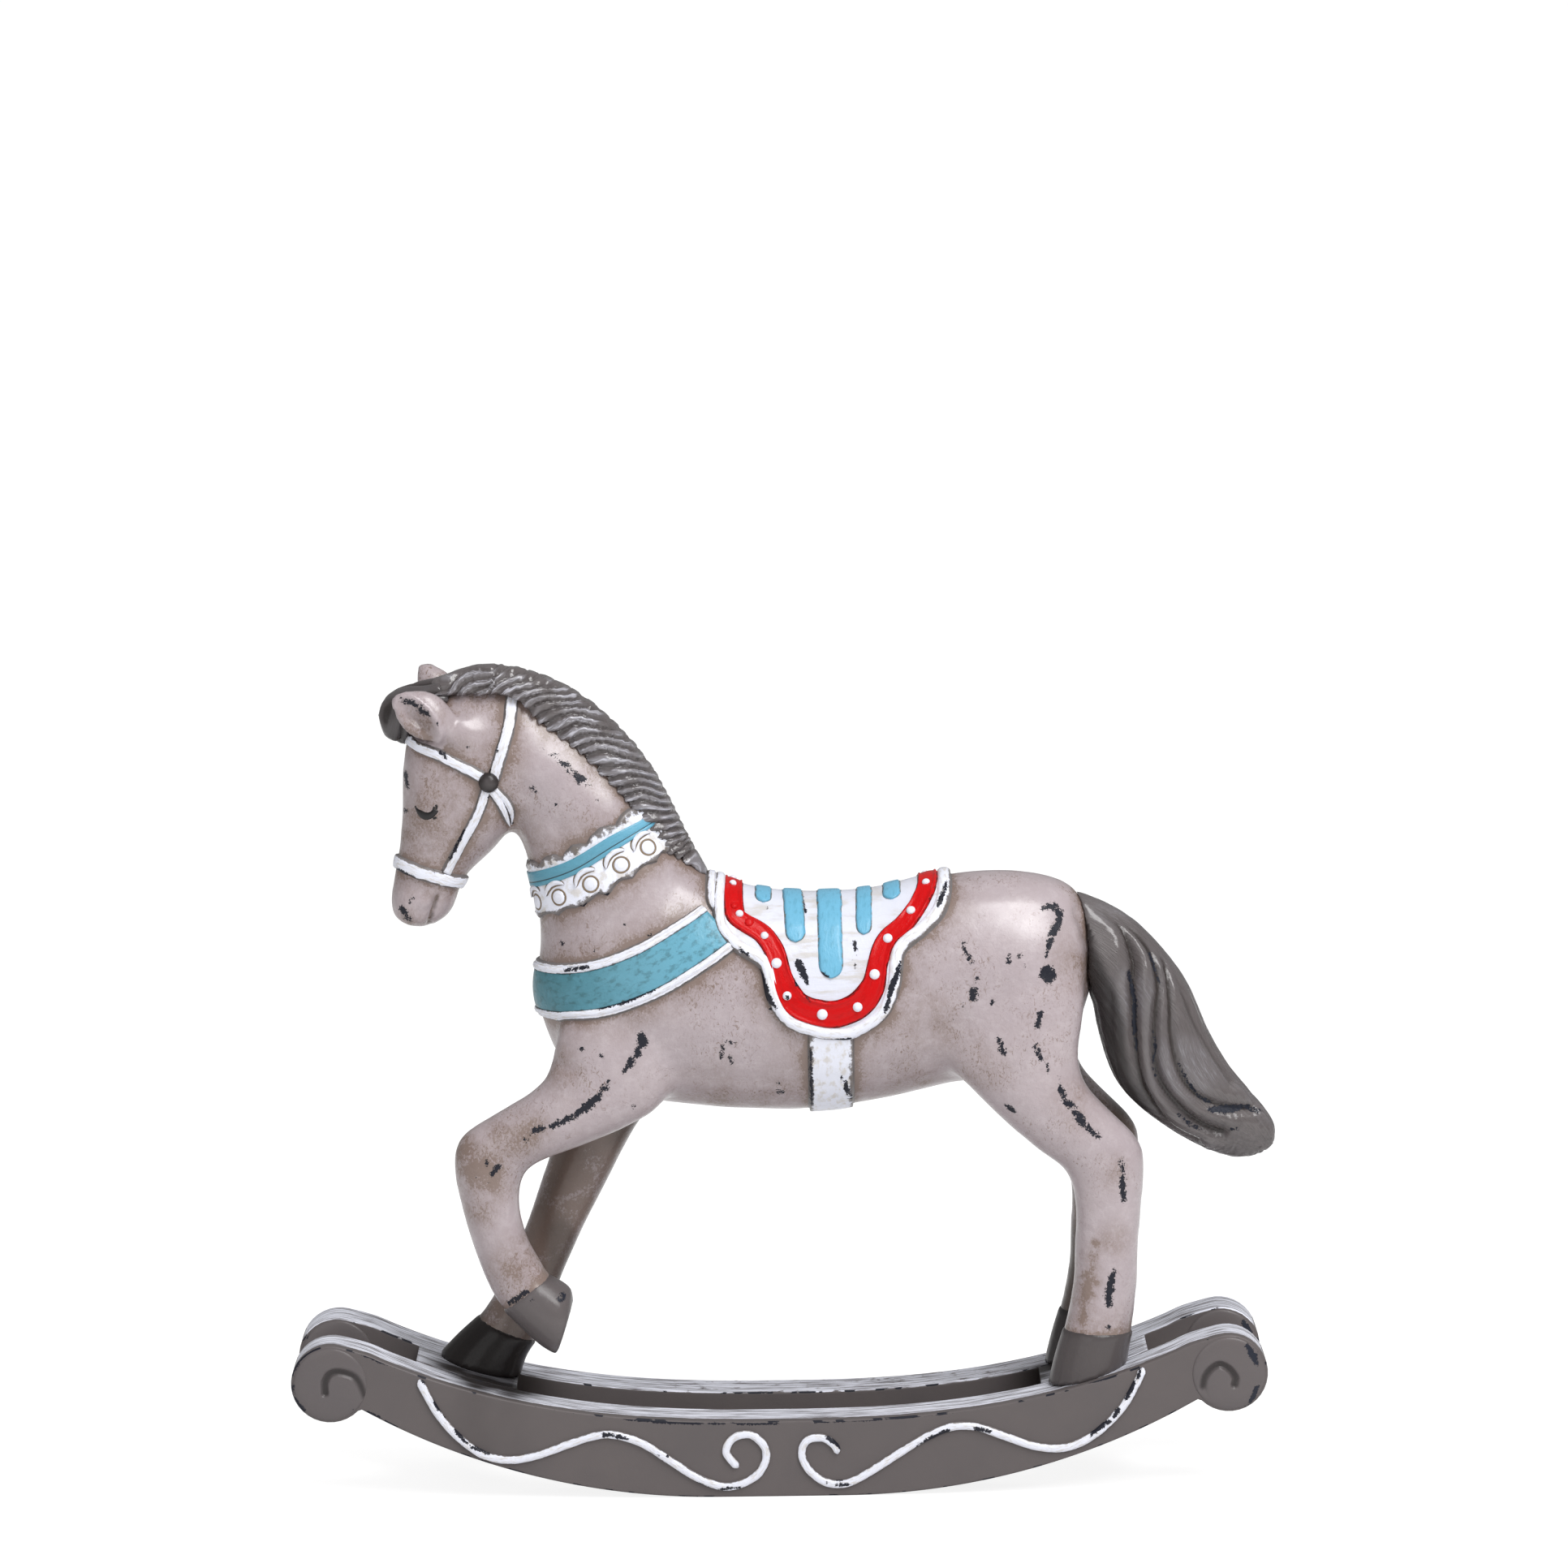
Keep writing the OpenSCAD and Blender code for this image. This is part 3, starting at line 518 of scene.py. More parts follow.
def taupeMaterial(name, roughness, coat, ridge=False):
    # dark taupe; on hair a dry brush drags light paint over the ridges and painted shade darkens the grooves
    mat, tree, shader = startMaterial(name, roughness, coat, 0.2, 0.25)
    p = place(tree)
    inkAndShade = attributeNode(tree, "inkAndShade")
    surface = useGroup(tree, "surface", Place=p, Ripple=0.5, Grain=0.35)
    chips = useGroup(tree, "chips", Place=p, Distance=attributeNode(tree, "chip"), Ragged=0.34, Flecks=0.15)
    base = mixNode(tree, surface.outputs["Drift"], tone["taupe"], tone["taupeCool"])
    height = surface.outputs["Height"]
    if ridge:
        line = attributeNode(tree, "ridge")
        strandPlace = stretchNode(tree, attributeNode(tree, "lay", "Vector"), (2.6, 0.3, 1.0))
        strands = useGroup(tree, "brush", Low=0.46, High=0.66, Vector=strandPlace)
        base = mixNode(tree, times(tree, strands.outputs["Mask"], 0.3), base, tone["taupeDark"])
        # painted shade in the grooves between the strands
        base = mixNode(tree, rangeNode(tree, line, 0.5, 0.05, 0.0, 0.85), base, tone["taupeDark"])
        hairs = plus(tree, times(tree, strands.outputs["Mask"], 0.8), 0.2)
        dry = times(tree, rangeNode(tree, line, 0.6, 0.95), hairs)
        base = mixNode(tree, times(tree, dry, attributeNode(tree, "dryBrush")), base, tone["taupeLight"])
        height = plus(tree, height, strands.outputs["Height"])
    # near black where the ink field says: black paint, and painted shade in hollows and at joins
    base = mixNode(tree, inkAndShade, base, tone["blackAndShade"])
    base = mixNode(tree, chips.outputs["Mask"], base, tone["taupeChip"])
    tree.links.new(base, shader.inputs["Base Color"])
    dullWhere(tree, shader, mathNode(tree, "MAXIMUM", chips.outputs["Mask"], times(tree, inkAndShade, 0.85)))
    height = minus(tree, height, times(tree, chips.outputs["Mask"], 0.7))
    bumpInto(tree, shader, height, 0.00024, 0.8)
    return mat


def trimMaterial(name, main, dirty, edge, edgeStart, dirt, flecks, roughness=0.3, coat=0.2, specular=0.25,
                 rear=None, line=None):
    # paint on a raised strap: "lay" holds (mm along, -1..1 across, height); line is where a groove runs
    mat, tree, shader = startMaterial(name, roughness, coat, 0.12, specular)
    p = place(tree)
    lay = attributeNode(tree, "lay", "Vector")
    surface = useGroup(tree, "surface", Place=p, Ripple=1.0, Grain=0.6)
    chips = useGroup(tree, "chips", Place=p, Distance=attributeNode(tree, "chip"), Ragged=0.3, Flecks=flecks)
    brush = useGroup(tree, "brush", Vector=stretchNode(tree, lay, (0.5, 3.0, 1.0)), Low=0.48, High=0.66)
    across = splitNode(tree, lay, "Y")
    wobble = times(tree, minus(tree, noiseNode(tree, p, 700.0, 4.0, 0.65), 0.5), 0.7)
    border = plus(tree, mathNode(tree, "ABSOLUTE", across), wobble)
    base = tone[main]
    if rear:
        # darker at the chest, lighter towards the saddle: painted shade over the front of the chest
        base = mixNode(tree, rangeNode(tree, splitNode(tree, p, "X"), -0.05, -0.014), base, tone[rear])
        base = mixNode(tree, times(tree, surface.outputs["Rub"], 0.2), base, tone["tealLight"])
    base = mixNode(tree, times(tree, brush.outputs["Mask"], dirt), base, tone[dirty])
    if line is not None:
        off = mathNode(tree, "ABSOLUTE", minus(tree, across, line))
        base = mixNode(tree, rangeNode(tree, off, 0.1, 0.05, 0.0, 0.85), base, tone[edge])
    # a dark border on both edges and over the skirt: dirt and painted shade where the strap meets what it
    # lies on
    base = mixNode(tree, rangeNode(tree, border, edgeStart, edgeStart + 0.12, 0.0, 0.85), base, tone[edge])
    base = mixNode(tree, chips.outputs["Mask"], base, tone["chip"])
    tree.links.new(base, shader.inputs["Base Color"])
    dullWhere(tree, shader, chips.outputs["Mask"])
    height = times(tree, plus(tree, surface.outputs["Height"], brush.outputs["Height"]), 0.7)
    height = minus(tree, height, times(tree, chips.outputs["Mask"], 0.8))
    bumpInto(tree, shader, height, 0.0003, 0.8)
    return mat


def brushedTopMaterial():
    # white dragged over dark taupe along the rail, like grain
    mat, tree, shader = startMaterial("brushedTop", 0.46, 0.15, 0.28, 0.2)
    p = place(tree)
    lay = attributeNode(tree, "lay", "Vector")
    inkAndShade = attributeNode(tree, "inkAndShade")
    fine = useGroup(tree, "brush", Vector=stretchNode(tree, lay, (0.06, 2.2, 1.0)), Low=0.42, High=0.58)
    broad = useGroup(tree, "brush", Vector=stretchNode(tree, lay, (0.09, 0.7, 1.0)), Low=0.4, High=0.6)
    surface = useGroup(tree, "surface", Place=p, Ripple=0.4, Grain=0.5)
    chips = useGroup(tree, "chips", Place=p, Distance=attributeNode(tree, "chip"), Ragged=0.26, Flecks=0.2)
    ragged = times(tree, minus(tree, noiseNode(tree, p, 320.0, 4.0, 0.65), 0.5), 1.1)
    band = rangeNode(tree, plus(tree, attributeNode(tree, "cover"), ragged), 0.42, 0.58)
    hairs = times(tree, fine.outputs["Mask"], 0.8)
    strokes = plus(tree, hairs, times(tree, broad.outputs["Mask"], 0.6), True)
    base = tone["taupe"]
    for mask, colour in (
        (surface.outputs["Drift"], "railCool"), (band, "railUnder"), (times(tree, band, strokes), "white"),
        (inkAndShade, "darkPatch"), (chips.outputs["Mask"], "chip"),
    ):
        base = mixNode(tree, mask, base, tone[colour])
    tree.links.new(base, shader.inputs["Base Color"])
    dullWhere(tree, shader, mathNode(tree, "MAXIMUM", chips.outputs["Mask"], inkAndShade))
    height = plus(tree, times(tree, fine.outputs["Height"], 0.8), surface.outputs["Height"])
    bumpInto(tree, shader, height, 0.00018, 0.7)
    return mat


def plainMaterial(name, colour, second, roughness, metallic=0.0):
    mat, tree, shader = startMaterial(name, roughness)
    shader.inputs["Metallic"].default_value = metallic
    surface = useGroup(tree, "surface", Place=place(tree), Ripple=0.4, Grain=0.8)
    base = mixNode(tree, surface.outputs["Drift"], tone[colour], tone[second])
    tree.links.new(base, shader.inputs["Base Color"])
    bumpInto(tree, shader, surface.outputs["Height"], 0.0001, 0.6)
    return mat


materials = {
    "coat": coatMaterial(),
    "hair": taupeMaterial("hairTaupe", 0.24, 0.9, ridge=True),
    "taupe": taupeMaterial("railTaupe", 0.42, 0.2),
    "hoof": taupeMaterial("hoofTaupe", 0.3, 0.2),
    "top": brushedTopMaterial(),
    "white": trimMaterial("whitePaint", "white", "whiteWarm", "whiteEdge", 0.8, 0.75, 0.5),
    "seat": trimMaterial("seatWhite", "seat", "seatWorn", "whiteEdge", 30.0, 0.7, 0.15),
    "teal": trimMaterial("tealBand", "teal", "tealDark", "tealEdge", 0.97, 0.5, 0.25, rear="tealLight"),
    "stripe": trimMaterial("stripeBlue", "stripe", "stripeDark", "stripeEdge", 1.0, 0.35, 0.0,
                           roughness=0.32),
    "ribbon": trimMaterial("ribbonBlue", "ribbon", "stripeDark", "ribbonEdge", 1.0, 0.25, 0.0, roughness=0.32,
                           rear="stripe", line=-0.36),
    "red": trimMaterial("redGloss", "red", "redWorn", "redEdge", 0.96, 0.4, 0.0, coat=0.12, specular=0.15),
    "inkAndShade": plainMaterial("eyeBlack", "lid", "lid", 0.3),
    "line": plainMaterial("brownLine", "line", "lineDark", 0.5),
    "wood": plainMaterial("beechDowel", "wood", "woodDark", 0.6),
    "steel": plainMaterial("screwSteel", "steel", "steelDark", 0.35, 1.0),
}
print("materials made")

castHorse = {
    "voxel": 0.66, "passes": 60,
    # the skin keeps its first shape here: x, y, z, radius in mm
    "crisp": [
        (-72, -8, 160, 10), (-70, 8, 165, 9), (-76, 0, 117, 9), (-71, -5, 117, 6), (-71, 5, 117, 6),
    ],
    # swellings and hollows on both sides: x, y, z, radius, height in mm
    "swells": [
        (-52, 9, 152, 9, 0.9), (-45, 10, 146.5, 9, 1.0), (-38, 10, 140, 9, 0.8), (-30, 11, 124, 10, 0.5),
        (-63, 8, 138, 12, 0.6), (-76.5, 4.5, 121.5, 4, 0.5), (-72.4, 7, 142.6, 4.2, 0.3),
        (-36, 15, 96, 17, 0.7), (-45, 15, 82, 10, 0.4), (52, 15, 104, 19, 0.7), (33, 17, 92, 10, -0.5),
        (-24, 13, 122, 10, -0.5), (-55, 6, 139, 5, -0.5), (-73.4, 5, 121.6, 1.6, 0.45),
        (-74, 5, 117.6, 1.8, 0.4),
    ],
    # creases: points (x, z), depth, half-width
    "creases": [
        ([(-56.2, 143), (-54.6, 138), (-53.6, 132)], 0.55, 1.7),
        ([(-70.4, 123), (-71.3, 120.6), (-72.6, 116)], 0.9, 0.5),
        ([(-50, 90.5), (-46.6, 89.6), (-43, 88)], 0.4, 1.8),
        ([(60.4, 118.6), (62.6, 112), (63.2, 104)], 0.5, 1.0),
    ],
    # hollow of each ear: middle (x, z), angle of the long way, half sizes, depth and raised rim
    "hollows": [
        {"side": -1, "middle": (-74.0, 159.8), "angle": -51, "half": (6.0, 3.3), "depth": 2.9, "rim": 0.6},
        {"side": 1, "middle": (-71, 165), "angle": -54, "half": (4.6, 2.4), "depth": 2.0, "rim": 0.3},
    ],
}
# paint losses on the near side: (x, z, half-width) in mm
coatChips = [
    [(-48.2, 153.8, 0.12)], [(-46.4, 152.6, 0.24), (-45.4, 151.9, 0.3)],
    [(-45.1, 151.2, 0.3), (-43.4, 150.2, 0.48)], [(-43.3, 149.3, 0.2), (-42.3, 148.7, 0.28)],
    [(-41.8, 148.1, 0.35), (-40.9, 147.6, 0.72), (-39.8, 147.2, 0.4)], [(-41, 146.6, 0.2)],
    [(-39.2, 146.1, 0.14)], [(-50.7, 145.7, 0.35), (-49.9, 145, 0.3)], [(-53.8, 146.5, 0.2)],
    [(-45.8, 142.1, 0.16)], [(-37, 143.3, 0.18)],
    [(-76.9, 164.1, 0.4), (-74.5, 163.6, 0.5), (-71.7, 161.3, 0.55)], [(-69.4, 159.4, 0.24)],
    [(-63.5, 154.3, 0.22)], [(-76.6, 148.4, 0.4), (-76.3, 145.6, 0.35)], [(-76.9, 140.6, 0.3)],
    [(-78, 120.7, 0.5), (-77.2, 119.7, 0.55), (-76.4, 118.3, 0.5)], [(-75.8, 122.9, 0.2)],
    [(-76.2, 122, 0.26)], [(-31.8, 117.7, 0.25)], [(-44.9, 113.7, 0.28)], [(-27, 115.7, 0.25)],
    [(-38.5, 112.6, 0.14)], [(-41.3, 92.8, 0.4)], [(-37.1, 91.4, 0.25)],
    [(-29, 95.8, 0.55), (-28.8, 94, 0.95)], [(-29.4, 93, 0.5), (-29.9, 91.7, 0.8)],
    [(-31, 90.4, 0.6), (-31.5, 89.5, 0.8), (-32.5, 88.3, 0.35)],
    [(-35.9, 85.9, 0.4), (-36.6, 84.9, 0.6)],
    [(-37.6, 83.4, 0.6), (-39.9, 81.4, 0.9), (-42, 79.9, 0.65)],
    [(-42.8, 79.4, 0.4), (-45, 78.2, 0.55), (-47.6, 77.1, 0.45)],
    [(-49.4, 76.8, 0.5), (-51.6, 75.8, 0.45)], [(-53.1, 74.3, 0.2)], [(-61, 69.5, 0.4)],
    [(-58.5, 68.9, 0.4), (-59.9, 67.3, 0.45)], [(-60.7, 65.6, 0.2)], [(-30.7, 80.7, 0.2)],
    [(-53.4, 42.6, 0.5), (-55.2, 41.4, 0.5), (-56.8, 40.2, 0.45)],
    [(-12.4, 93, 0.25), (-12.6, 90.6, 0.25)], [(-11.2, 94.2, 0.2), (-9.8, 93.5, 0.25)],
    [(-10.7, 90.8, 0.22), (-10.7, 89.3, 0.2)], [(-1, 85, 0.22)], [(-1.1, 82.6, 0.4), (-0.3, 82.6, 0.4)],
    [(53.4, 119.9, 0.4), (55.5, 120.1, 0.5), (56.9, 118.6, 0.6), (56.2, 116.6, 0.7), (55.2, 114.8, 0.7)],
    [(54.9, 113.7, 0.5), (54.2, 112.4, 0.5)], [(54, 110.6, 0.12)],
    [(53.9, 107.3, 1.5), (54.2, 106.6, 1.4)],
    [(36.9, 114, 0.25), (37.4, 111.7, 0.35), (38.5, 109.8, 0.35)], [(39.5, 106.5, 0.3)],
    [(38.8, 103.9, 0.85), (38.9, 102.6, 0.7)], [(36.6, 101.2, 0.2)], [(42.6, 101.6, 0.35)],
    [(46.1, 111, 0.35), (46.1, 109.7, 0.4)], [(48.5, 111, 0.3)], [(49.6, 108.8, 0.25)],
    [(53.8, 110.9, 0.25)], [(52.3, 99.2, 0.5), (51.9, 97, 0.6)], [(43.9, 94.2, 0.4), (44.7, 91.4, 0.5)],
    [(51.4, 92.7, 0.35), (52.5, 90.1, 0.6)], [(53.7, 88.8, 0.16), (54, 87.4, 0.16)], [(56, 86.2, 0.24)],
    [(56.3, 84, 0.4), (56.9, 82.1, 0.6)], [(57.4, 81.2, 0.5), (58.4, 79.9, 0.7)],
    [(59.4, 79, 0.5), (60.4, 77.3, 0.75), (61.7, 75.9, 0.6)], [(62.2, 75.2, 0.5), (63.8, 73.7, 0.6)],
    [(45.2, 80.3, 0.2), (46.8, 79, 0.3)], [(68.8, 68.6, 0.35), (69, 64.6, 0.5), (69.1, 60.2, 0.45)],
    [(67, 45.4, 0.5), (66.2, 41.6, 0.8), (65.9, 38.7, 0.7)], [(65.9, 33.8, 0.35)],
]
hoofNodes = ["hoof_fore_left", "hoof_fore_right", "hoof_hind_left", "hoof_hind_right"]
legNodes = ["foreleg_left", "foreleg_right", "hind_leg_left", "hind_leg_right"]
ears = [
    {"root": (-66.6, -7.0, 157.2), "tip": (-78.6, -8.4, 164.6), "faces": (0.12, -1, 0.08),
     "side": -1, "width": 4.9, "thick": 3.0},
    {"root": (-66.6, 6.6, 160), "tip": (-73.8, 9, 169.2), "faces": (-0.5, 1, 0.1),
     "side": 1, "width": 3.7, "thick": 2.5},
]


def earShape(spec):
    # a fleshy leaf from root to tip, in mm
    root, tip = Vector(spec["root"]), Vector(spec["tip"])
    axis = (tip - root).normalized()
    out = (Vector(spec["faces"]) - axis * Vector(spec["faces"]).dot(axis)).normalized()
    wide = axis.cross(out)
    bm = bmesh.new()
    bmesh.ops.create_uvsphere(bm, u_segments=40, v_segments=28, radius=1)
    for v in bm.verts:
        a, b, c = v.co
        taper = 1 - 0.2 * max(c, 0) - 0.25 * max(c, 0) ** 4
        v.co = ((root + tip) / 2 + axis * (c * (tip - root).length / 2) + wide * (a * spec["width"] * taper)
                + out * (b * spec["thick"] * (1 - 0.25 * c))) * mm
    # the swelling behind it
    for v in bmesh.ops.create_uvsphere(bm, u_segments=24, v_segments=16, radius=1)["verts"]:
        away = Vector((v.co.x * 4.8, v.co.y * 2.8, v.co.z * 4.0))
        v.co = (root + Vector((2.4, -0.6 * spec["side"], -0.8)) + away) * mm
    bmesh.ops.recalc_face_normals(bm, faces=bm.faces)
    return bm


def makeCastHorse():
    horse = joinedCopy("castHorse", ["torso", "neck", "head"] + legNodes + hoofNodes)
    bm = bmesh.new()
    bm.from_mesh(horse.data)
    for spec in ears:
        addMesh(bm, earShape(spec))
    bm.to_mesh(horse.data)
    bm.free()
    voxelSkin(horse, castHorse["voxel"])
    relax(horse, 3)
    relax(horse, castHorse["passes"], nearSpots(castHorse["crisp"]))
    co, no = meshArrays(horse)
    for x, y, z, radius, height in castHorse["swells"]:
        for side in (-1, 1):
            d = np.linalg.norm(co - np.array([x, side * y, z]), axis=1) / radius
            co += no * (height * np.clip(1 - d * d, 0, 1) ** 2)[:, None]
    for line, depth, width in castHorse["creases"]:
        d = strokeDistance(co, [hairline(line, 4)])
        flank = np.clip(np.abs(no[:, 1]) * 3, 0, 1)
        co -= no * (depth * np.exp(-(d / width) ** 2) * flank)[:, None]
    for ear in castHorse["hollows"]:
        d = ovalReach(co, ear["middle"], ear["angle"], ear["half"])
        outer = np.clip(no[:, 1] * ear["side"] * 2.5, 0, 1) * (co[:, 1] * ear["side"] > 3)
        dent = ear["rim"] * np.exp(-((d - 1.05) / 0.16) ** 2) - ear["depth"] * np.clip(1 - d * d, 0, 1)
        co += no * (dent * outer)[:, None]
    setPlaces(horse, co)
    relax(horse, 1)
    return horse


horse = makeCastHorse()
print("cast horse:", len(horse.data.polygons), "faces")
horse.data.materials.append(materials["coat"])
skinTree = BVHTree.FromPolygons([v.co for v in horse.data.vertices],
                                [tuple(p.vertices) for p in horse.data.polygons])


class SheetLine:
    # a line drawn in side view, in mm, which can be run past both its ends
    def __init__(self, points, steps=6):
        self.points = smoothLine(points, steps)
        self.lengths = [0.0]
        for a, b in zip(self.points[:-1], self.points[1:]):
            self.lengths.append(self.lengths[-1] + (b - a).length)

    def at(self, u):
        last = self.lengths[-1]
        if u <= 0:
            d = (self.points[1] - self.points[0]).normalized()
            return self.points[0] + d * u
        if u >= last:
            d = (self.points[-1] - self.points[-2]).normalized()
            return self.points[-1] + d * (u - last)
        i = max(1, int(np.searchsorted(self.lengths, u)))
        t = (u - self.lengths[i - 1]) / (self.lengths[i] - self.lengths[i - 1])
        return self.points[i - 1].lerp(self.points[i], t)


def skinSide(p):
    # above zero outside the horse
    co, no, _, _ = skinTree.find_nearest(p)
    return (p - co).dot(no)


def nearSkin(p):
    co, no, _, _ = skinTree.find_nearest(p)
    return co, no


allRound = (0, 2 * math.pi)
overFront = (math.pi / 2, math.pi * 3 / 2)
overRear = (-math.pi / 2, math.pi / 2)


def wrapLoop(line, middle, turn, count, spacing):
    # walks outwards from the middle of a line, in every direction of its curved sheet, to the skin
    start, stop = turn

    def spot(theta, reach):
        q = line.at(middle + reach * math.cos(theta))
        return Vector((q[0], reach * math.sin(theta), q[1])) * mm

    out = []
    for k in range(count):
        theta = start + (stop - start) * k / (count - 1)
        reach = 1.0
        while skinSide(spot(theta, reach)) < 0 and reach < 110:
            reach += 1.0
        low, high = reach - 1.0, reach
        for _ in range(9):
            mid = (low + high) / 2
            if skinSide(spot(theta, mid)) < 0:
                low = mid
            else:
                high = mid
        out.append(spot(theta, (low + high) / 2))
    return evenly(out, spacing)


def evenly(points, spacing):
    lengths = [0.0]
    for a, b in zip(points[:-1], points[1:]):
        lengths.append(lengths[-1] + (b - a).length)
    total = lengths[-1]
    count = max(4, int(round(total / (spacing * mm))))
    out = []
    i = 1
    for k in range(count + 1):
        s = total * k / count
        while i < len(points) - 1 and lengths[i] < s:
            i += 1
        t = (s - lengths[i - 1]) / max(lengths[i] - lengths[i - 1], 1e-12)
        out.append(points[i - 1].lerp(points[i], min(max(t, 0), 1)))
    return out


def sidePath(points, side, spacing, steps=6):
    # a line in side view laid on one flank of the horse
    out = []
    for q in smoothLine(points, steps):
        start = Vector((q[0] * mm, side * 0.08, q[1] * mm))
        hit = skinTree.ray_cast(start, Vector((0, -side, 0)))
        if hit[0] is not None:
            out.append(hit[0])
    return evenly(out, spacing)


def railFrames(path, closed, passes=4):
    # direction, skin normal and cross direction at each point of a path
    n = len(path)
    normals = [nearSkin(p)[1] for p in path]
    for _ in range(passes):
        fresh = []
        for i in range(n):
            a = normals[(i - 1) % n] if closed or i > 0 else normals[i]
            b = normals[(i + 1) % n] if closed or i < n - 1 else normals[i]
            fresh.append((a + normals[i] * 2 + b).normalized())
        normals = fresh
    frames = []
    for i in range(n):
        a = path[(i - 1) % n] if closed or i > 0 else path[i]
        b = path[(i + 1) % n] if closed or i < n - 1 else path[i]
        go = (b - a).normalized()
        up = (normals[i] - go * normals[i].dot(go)).normalized()
        frames.append((go, up, go.cross(up)))
    return frames


def layStrap(name, path, profile, material, closed=False, turn=1, width=None, skirt=(0.26, 0.05)):
    # a strap on the skin: profile is a closed ring of (across, height) in mm
    # width(mm along, across) scales the across value; the skirt (width, height) is the dark band of dirt and
    # painted shade along its foot
    if closed and (path[0] - path[-1]).length < 1e-5:
        path = path[:-1]
    frames = railFrames(path, closed)
    spacing = (path[1] - path[0]).length / mm
    low, high = min(a for a, _ in profile), max(a for a, _ in profile)
    if skirt:
        wide, foot = skirt
        left = [(low - wide, profile[0][1]), (low - wide, foot), (low, foot + 0.03)]
        right = [(high, foot + 0.03), (high + wide, foot), (high + wide, profile[-1][1])]
        profile = left + profile[1:-1] + right
    rows, ring = len(path), len(profile)
    cells = rows if closed else rows - 1
    bm = bmesh.new()
    lay = bm.verts.layers.float_vector.new("lay")
    bmesh.ops.create_grid(bm, x_segments=cells, y_segments=ring, size=0.5)
    for v in bm.verts:
        i = round((v.co.x + 0.5) * cells)
        j = round((v.co.y + 0.5) * ring) % ring
        along = i * spacing
        _, up, side = frames[i % rows]
        across, height = profile[j]
        v[lay] = (along, (2 * across - low - high) / (high - low), height)
        across *= width(along, across) if width else 1
        co, no = nearSkin(path[i % rows] + side * (turn * across * mm))
        v.co = co + (no + up).normalized() * (height * mm)
    closeUp(bm, not closed)
    return newObject(name, bm, material)


def strapProfile(half, height, shoulder, deep=0.4, crown=0.1):
    # flat strap with rounded shoulders
    steps = 4
    rise = []
    for k in range(steps):
        a = math.pi / 2 * k / (steps - 1)
        rise.append((half - shoulder * (1 - math.cos(a)), height - shoulder + shoulder * math.sin(a)))
    top = []
    for k in range(1, steps * 2):
        t = -1 + 2 * k / (steps * 2)
        top.append(((half - shoulder) * t, height + crown * (1 - t * t)))
    return [(-half, -deep)] + [(-a, h) for a, h in rise] + top + rise[::-1] + [(half, -deep)]


def joinPieces(name, parts):
    # one mesh from several, each with its own material
    bm = bmesh.new()
    used = []
    for part in parts:
        material = part.data.materials[0]
        if material not in used:
            used.append(material)
        for p in part.data.polygons:
            p.material_index = used.index(material)
        bm.from_mesh(part.data)
    for part in parts:
        mesh = part.data
        bpy.data.objects.remove(part)
        bpy.data.meshes.remove(mesh)
    obj = newObject(name, bm)
    for material in used:
        obj.data.materials.append(material)
    return obj


def finishField(obj, chips=(), far=None, inkAndShade=0.0):
    # paint losses on both sides, and dark paint with painted shade, for the materials
    co = meshArrays(obj)[0]
    setField(obj, "chip", sideStrokes(co, chips, far))
    setField(obj, "inkAndShade", np.zeros(len(co)) + inkAndShade)


pieces = []


def keep(obj, *nodes):
    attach(obj, "root")
    if nodes:
        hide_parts(*nodes)
    pieces.append(obj)
    return obj


saddle = {
    "rim": [
        (-12.3, 138), (-12.7, 126), (-12.9, 120.6), (-12.1, 116.6), (-8.8, 113.2), (-3.4, 109.8),
        (-1.6, 103), (1.5, 98.5), (6.9, 96.4), (10.6, 95.9), (14.4, 96.2), (19.9, 99.8), (22.5, 105.5),
        (23.7, 112.2), (28.9, 116.5), (32.4, 120.4), (33.4, 126), (33.4, 138),
    ],
    "red": [
        (-9.8, 138), (-10.2, 126), (-9.9, 119.8), (-8.7, 117.9), (-4, 115.2), (-1.4, 111.5),
        (-0.3, 107.4), (0.9, 104.4), (3.2, 101.4), (7.5, 99.9), (11.2, 99.8), (15.5, 101.6),
        (18.4, 105.2), (19.6, 110), (21.4, 113.9), (25.2, 117), (28.9, 121.5), (30.4, 126), (30.4, 138),
    ],
    "roll": [(-14.1, 120.2), (-14.3, 122), (-14.4, 126), (-14.4, 138)],
    "field": 0.95, "step": 0.55, "rollStep": 0.5, "stripeStep": 0.4,
    # white studs: x, z, radius; two more are painted over with the border's red
    "studs": [
        (-10.4, 123.5, 0.78), (-8.8, 118.6, 0.83), (-3.6, 114.7, 0.83), (-1.2, 109.7, 1.08),
        (0.9, 103.5, 0.92), (8, 99.8, 1.12), (15.2, 101.2, 1.0), (18.8, 107.4, 1.08), (21.7, 114, 1.0),
        (26.6, 119, 0.95), (29.9, 123.6, 0.83),
    ],
    "redStuds": [(-6.8, 117.1, 0.95), (-9.9, 120, 0.8)],
    # blue tongues: x at the ridge, x at the tip, width, z of the tip
    "stripes": [
        (-3.9, -3.8, 3.1, 120.4), (2.1, 3.2, 3.7, 113.3), (9.7, 9.9, 4.6, 106.6), (17, 16.6, 2.9, 114.7),
        (22.8, 22.5, 3.4, 120.8),
    ],
}
rimChips = [
    [(-4.7, 108.8, 0.3), (-3.9, 106.5, 0.6), (-3.2, 103.6, 0.65), (-1.4, 101.3, 0.3)],
    [(-8.7, 113.1, 0.28), (-6.9, 111.8, 0.3)],
    [(33.7, 125, 0.25), (33.2, 123.6, 0.4), (32.1, 121.5, 0.4), (31.8, 120.6, 0.2)],
    [(24, 110.1, 0.2), (23.3, 107.8, 0.5), (22.2, 105.5, 0.62), (21.5, 102.6, 0.45), (20.9, 100.3, 0.45)],
    [(10.7, 94.5, 0.17), (14, 94.6, 0.17)],
]
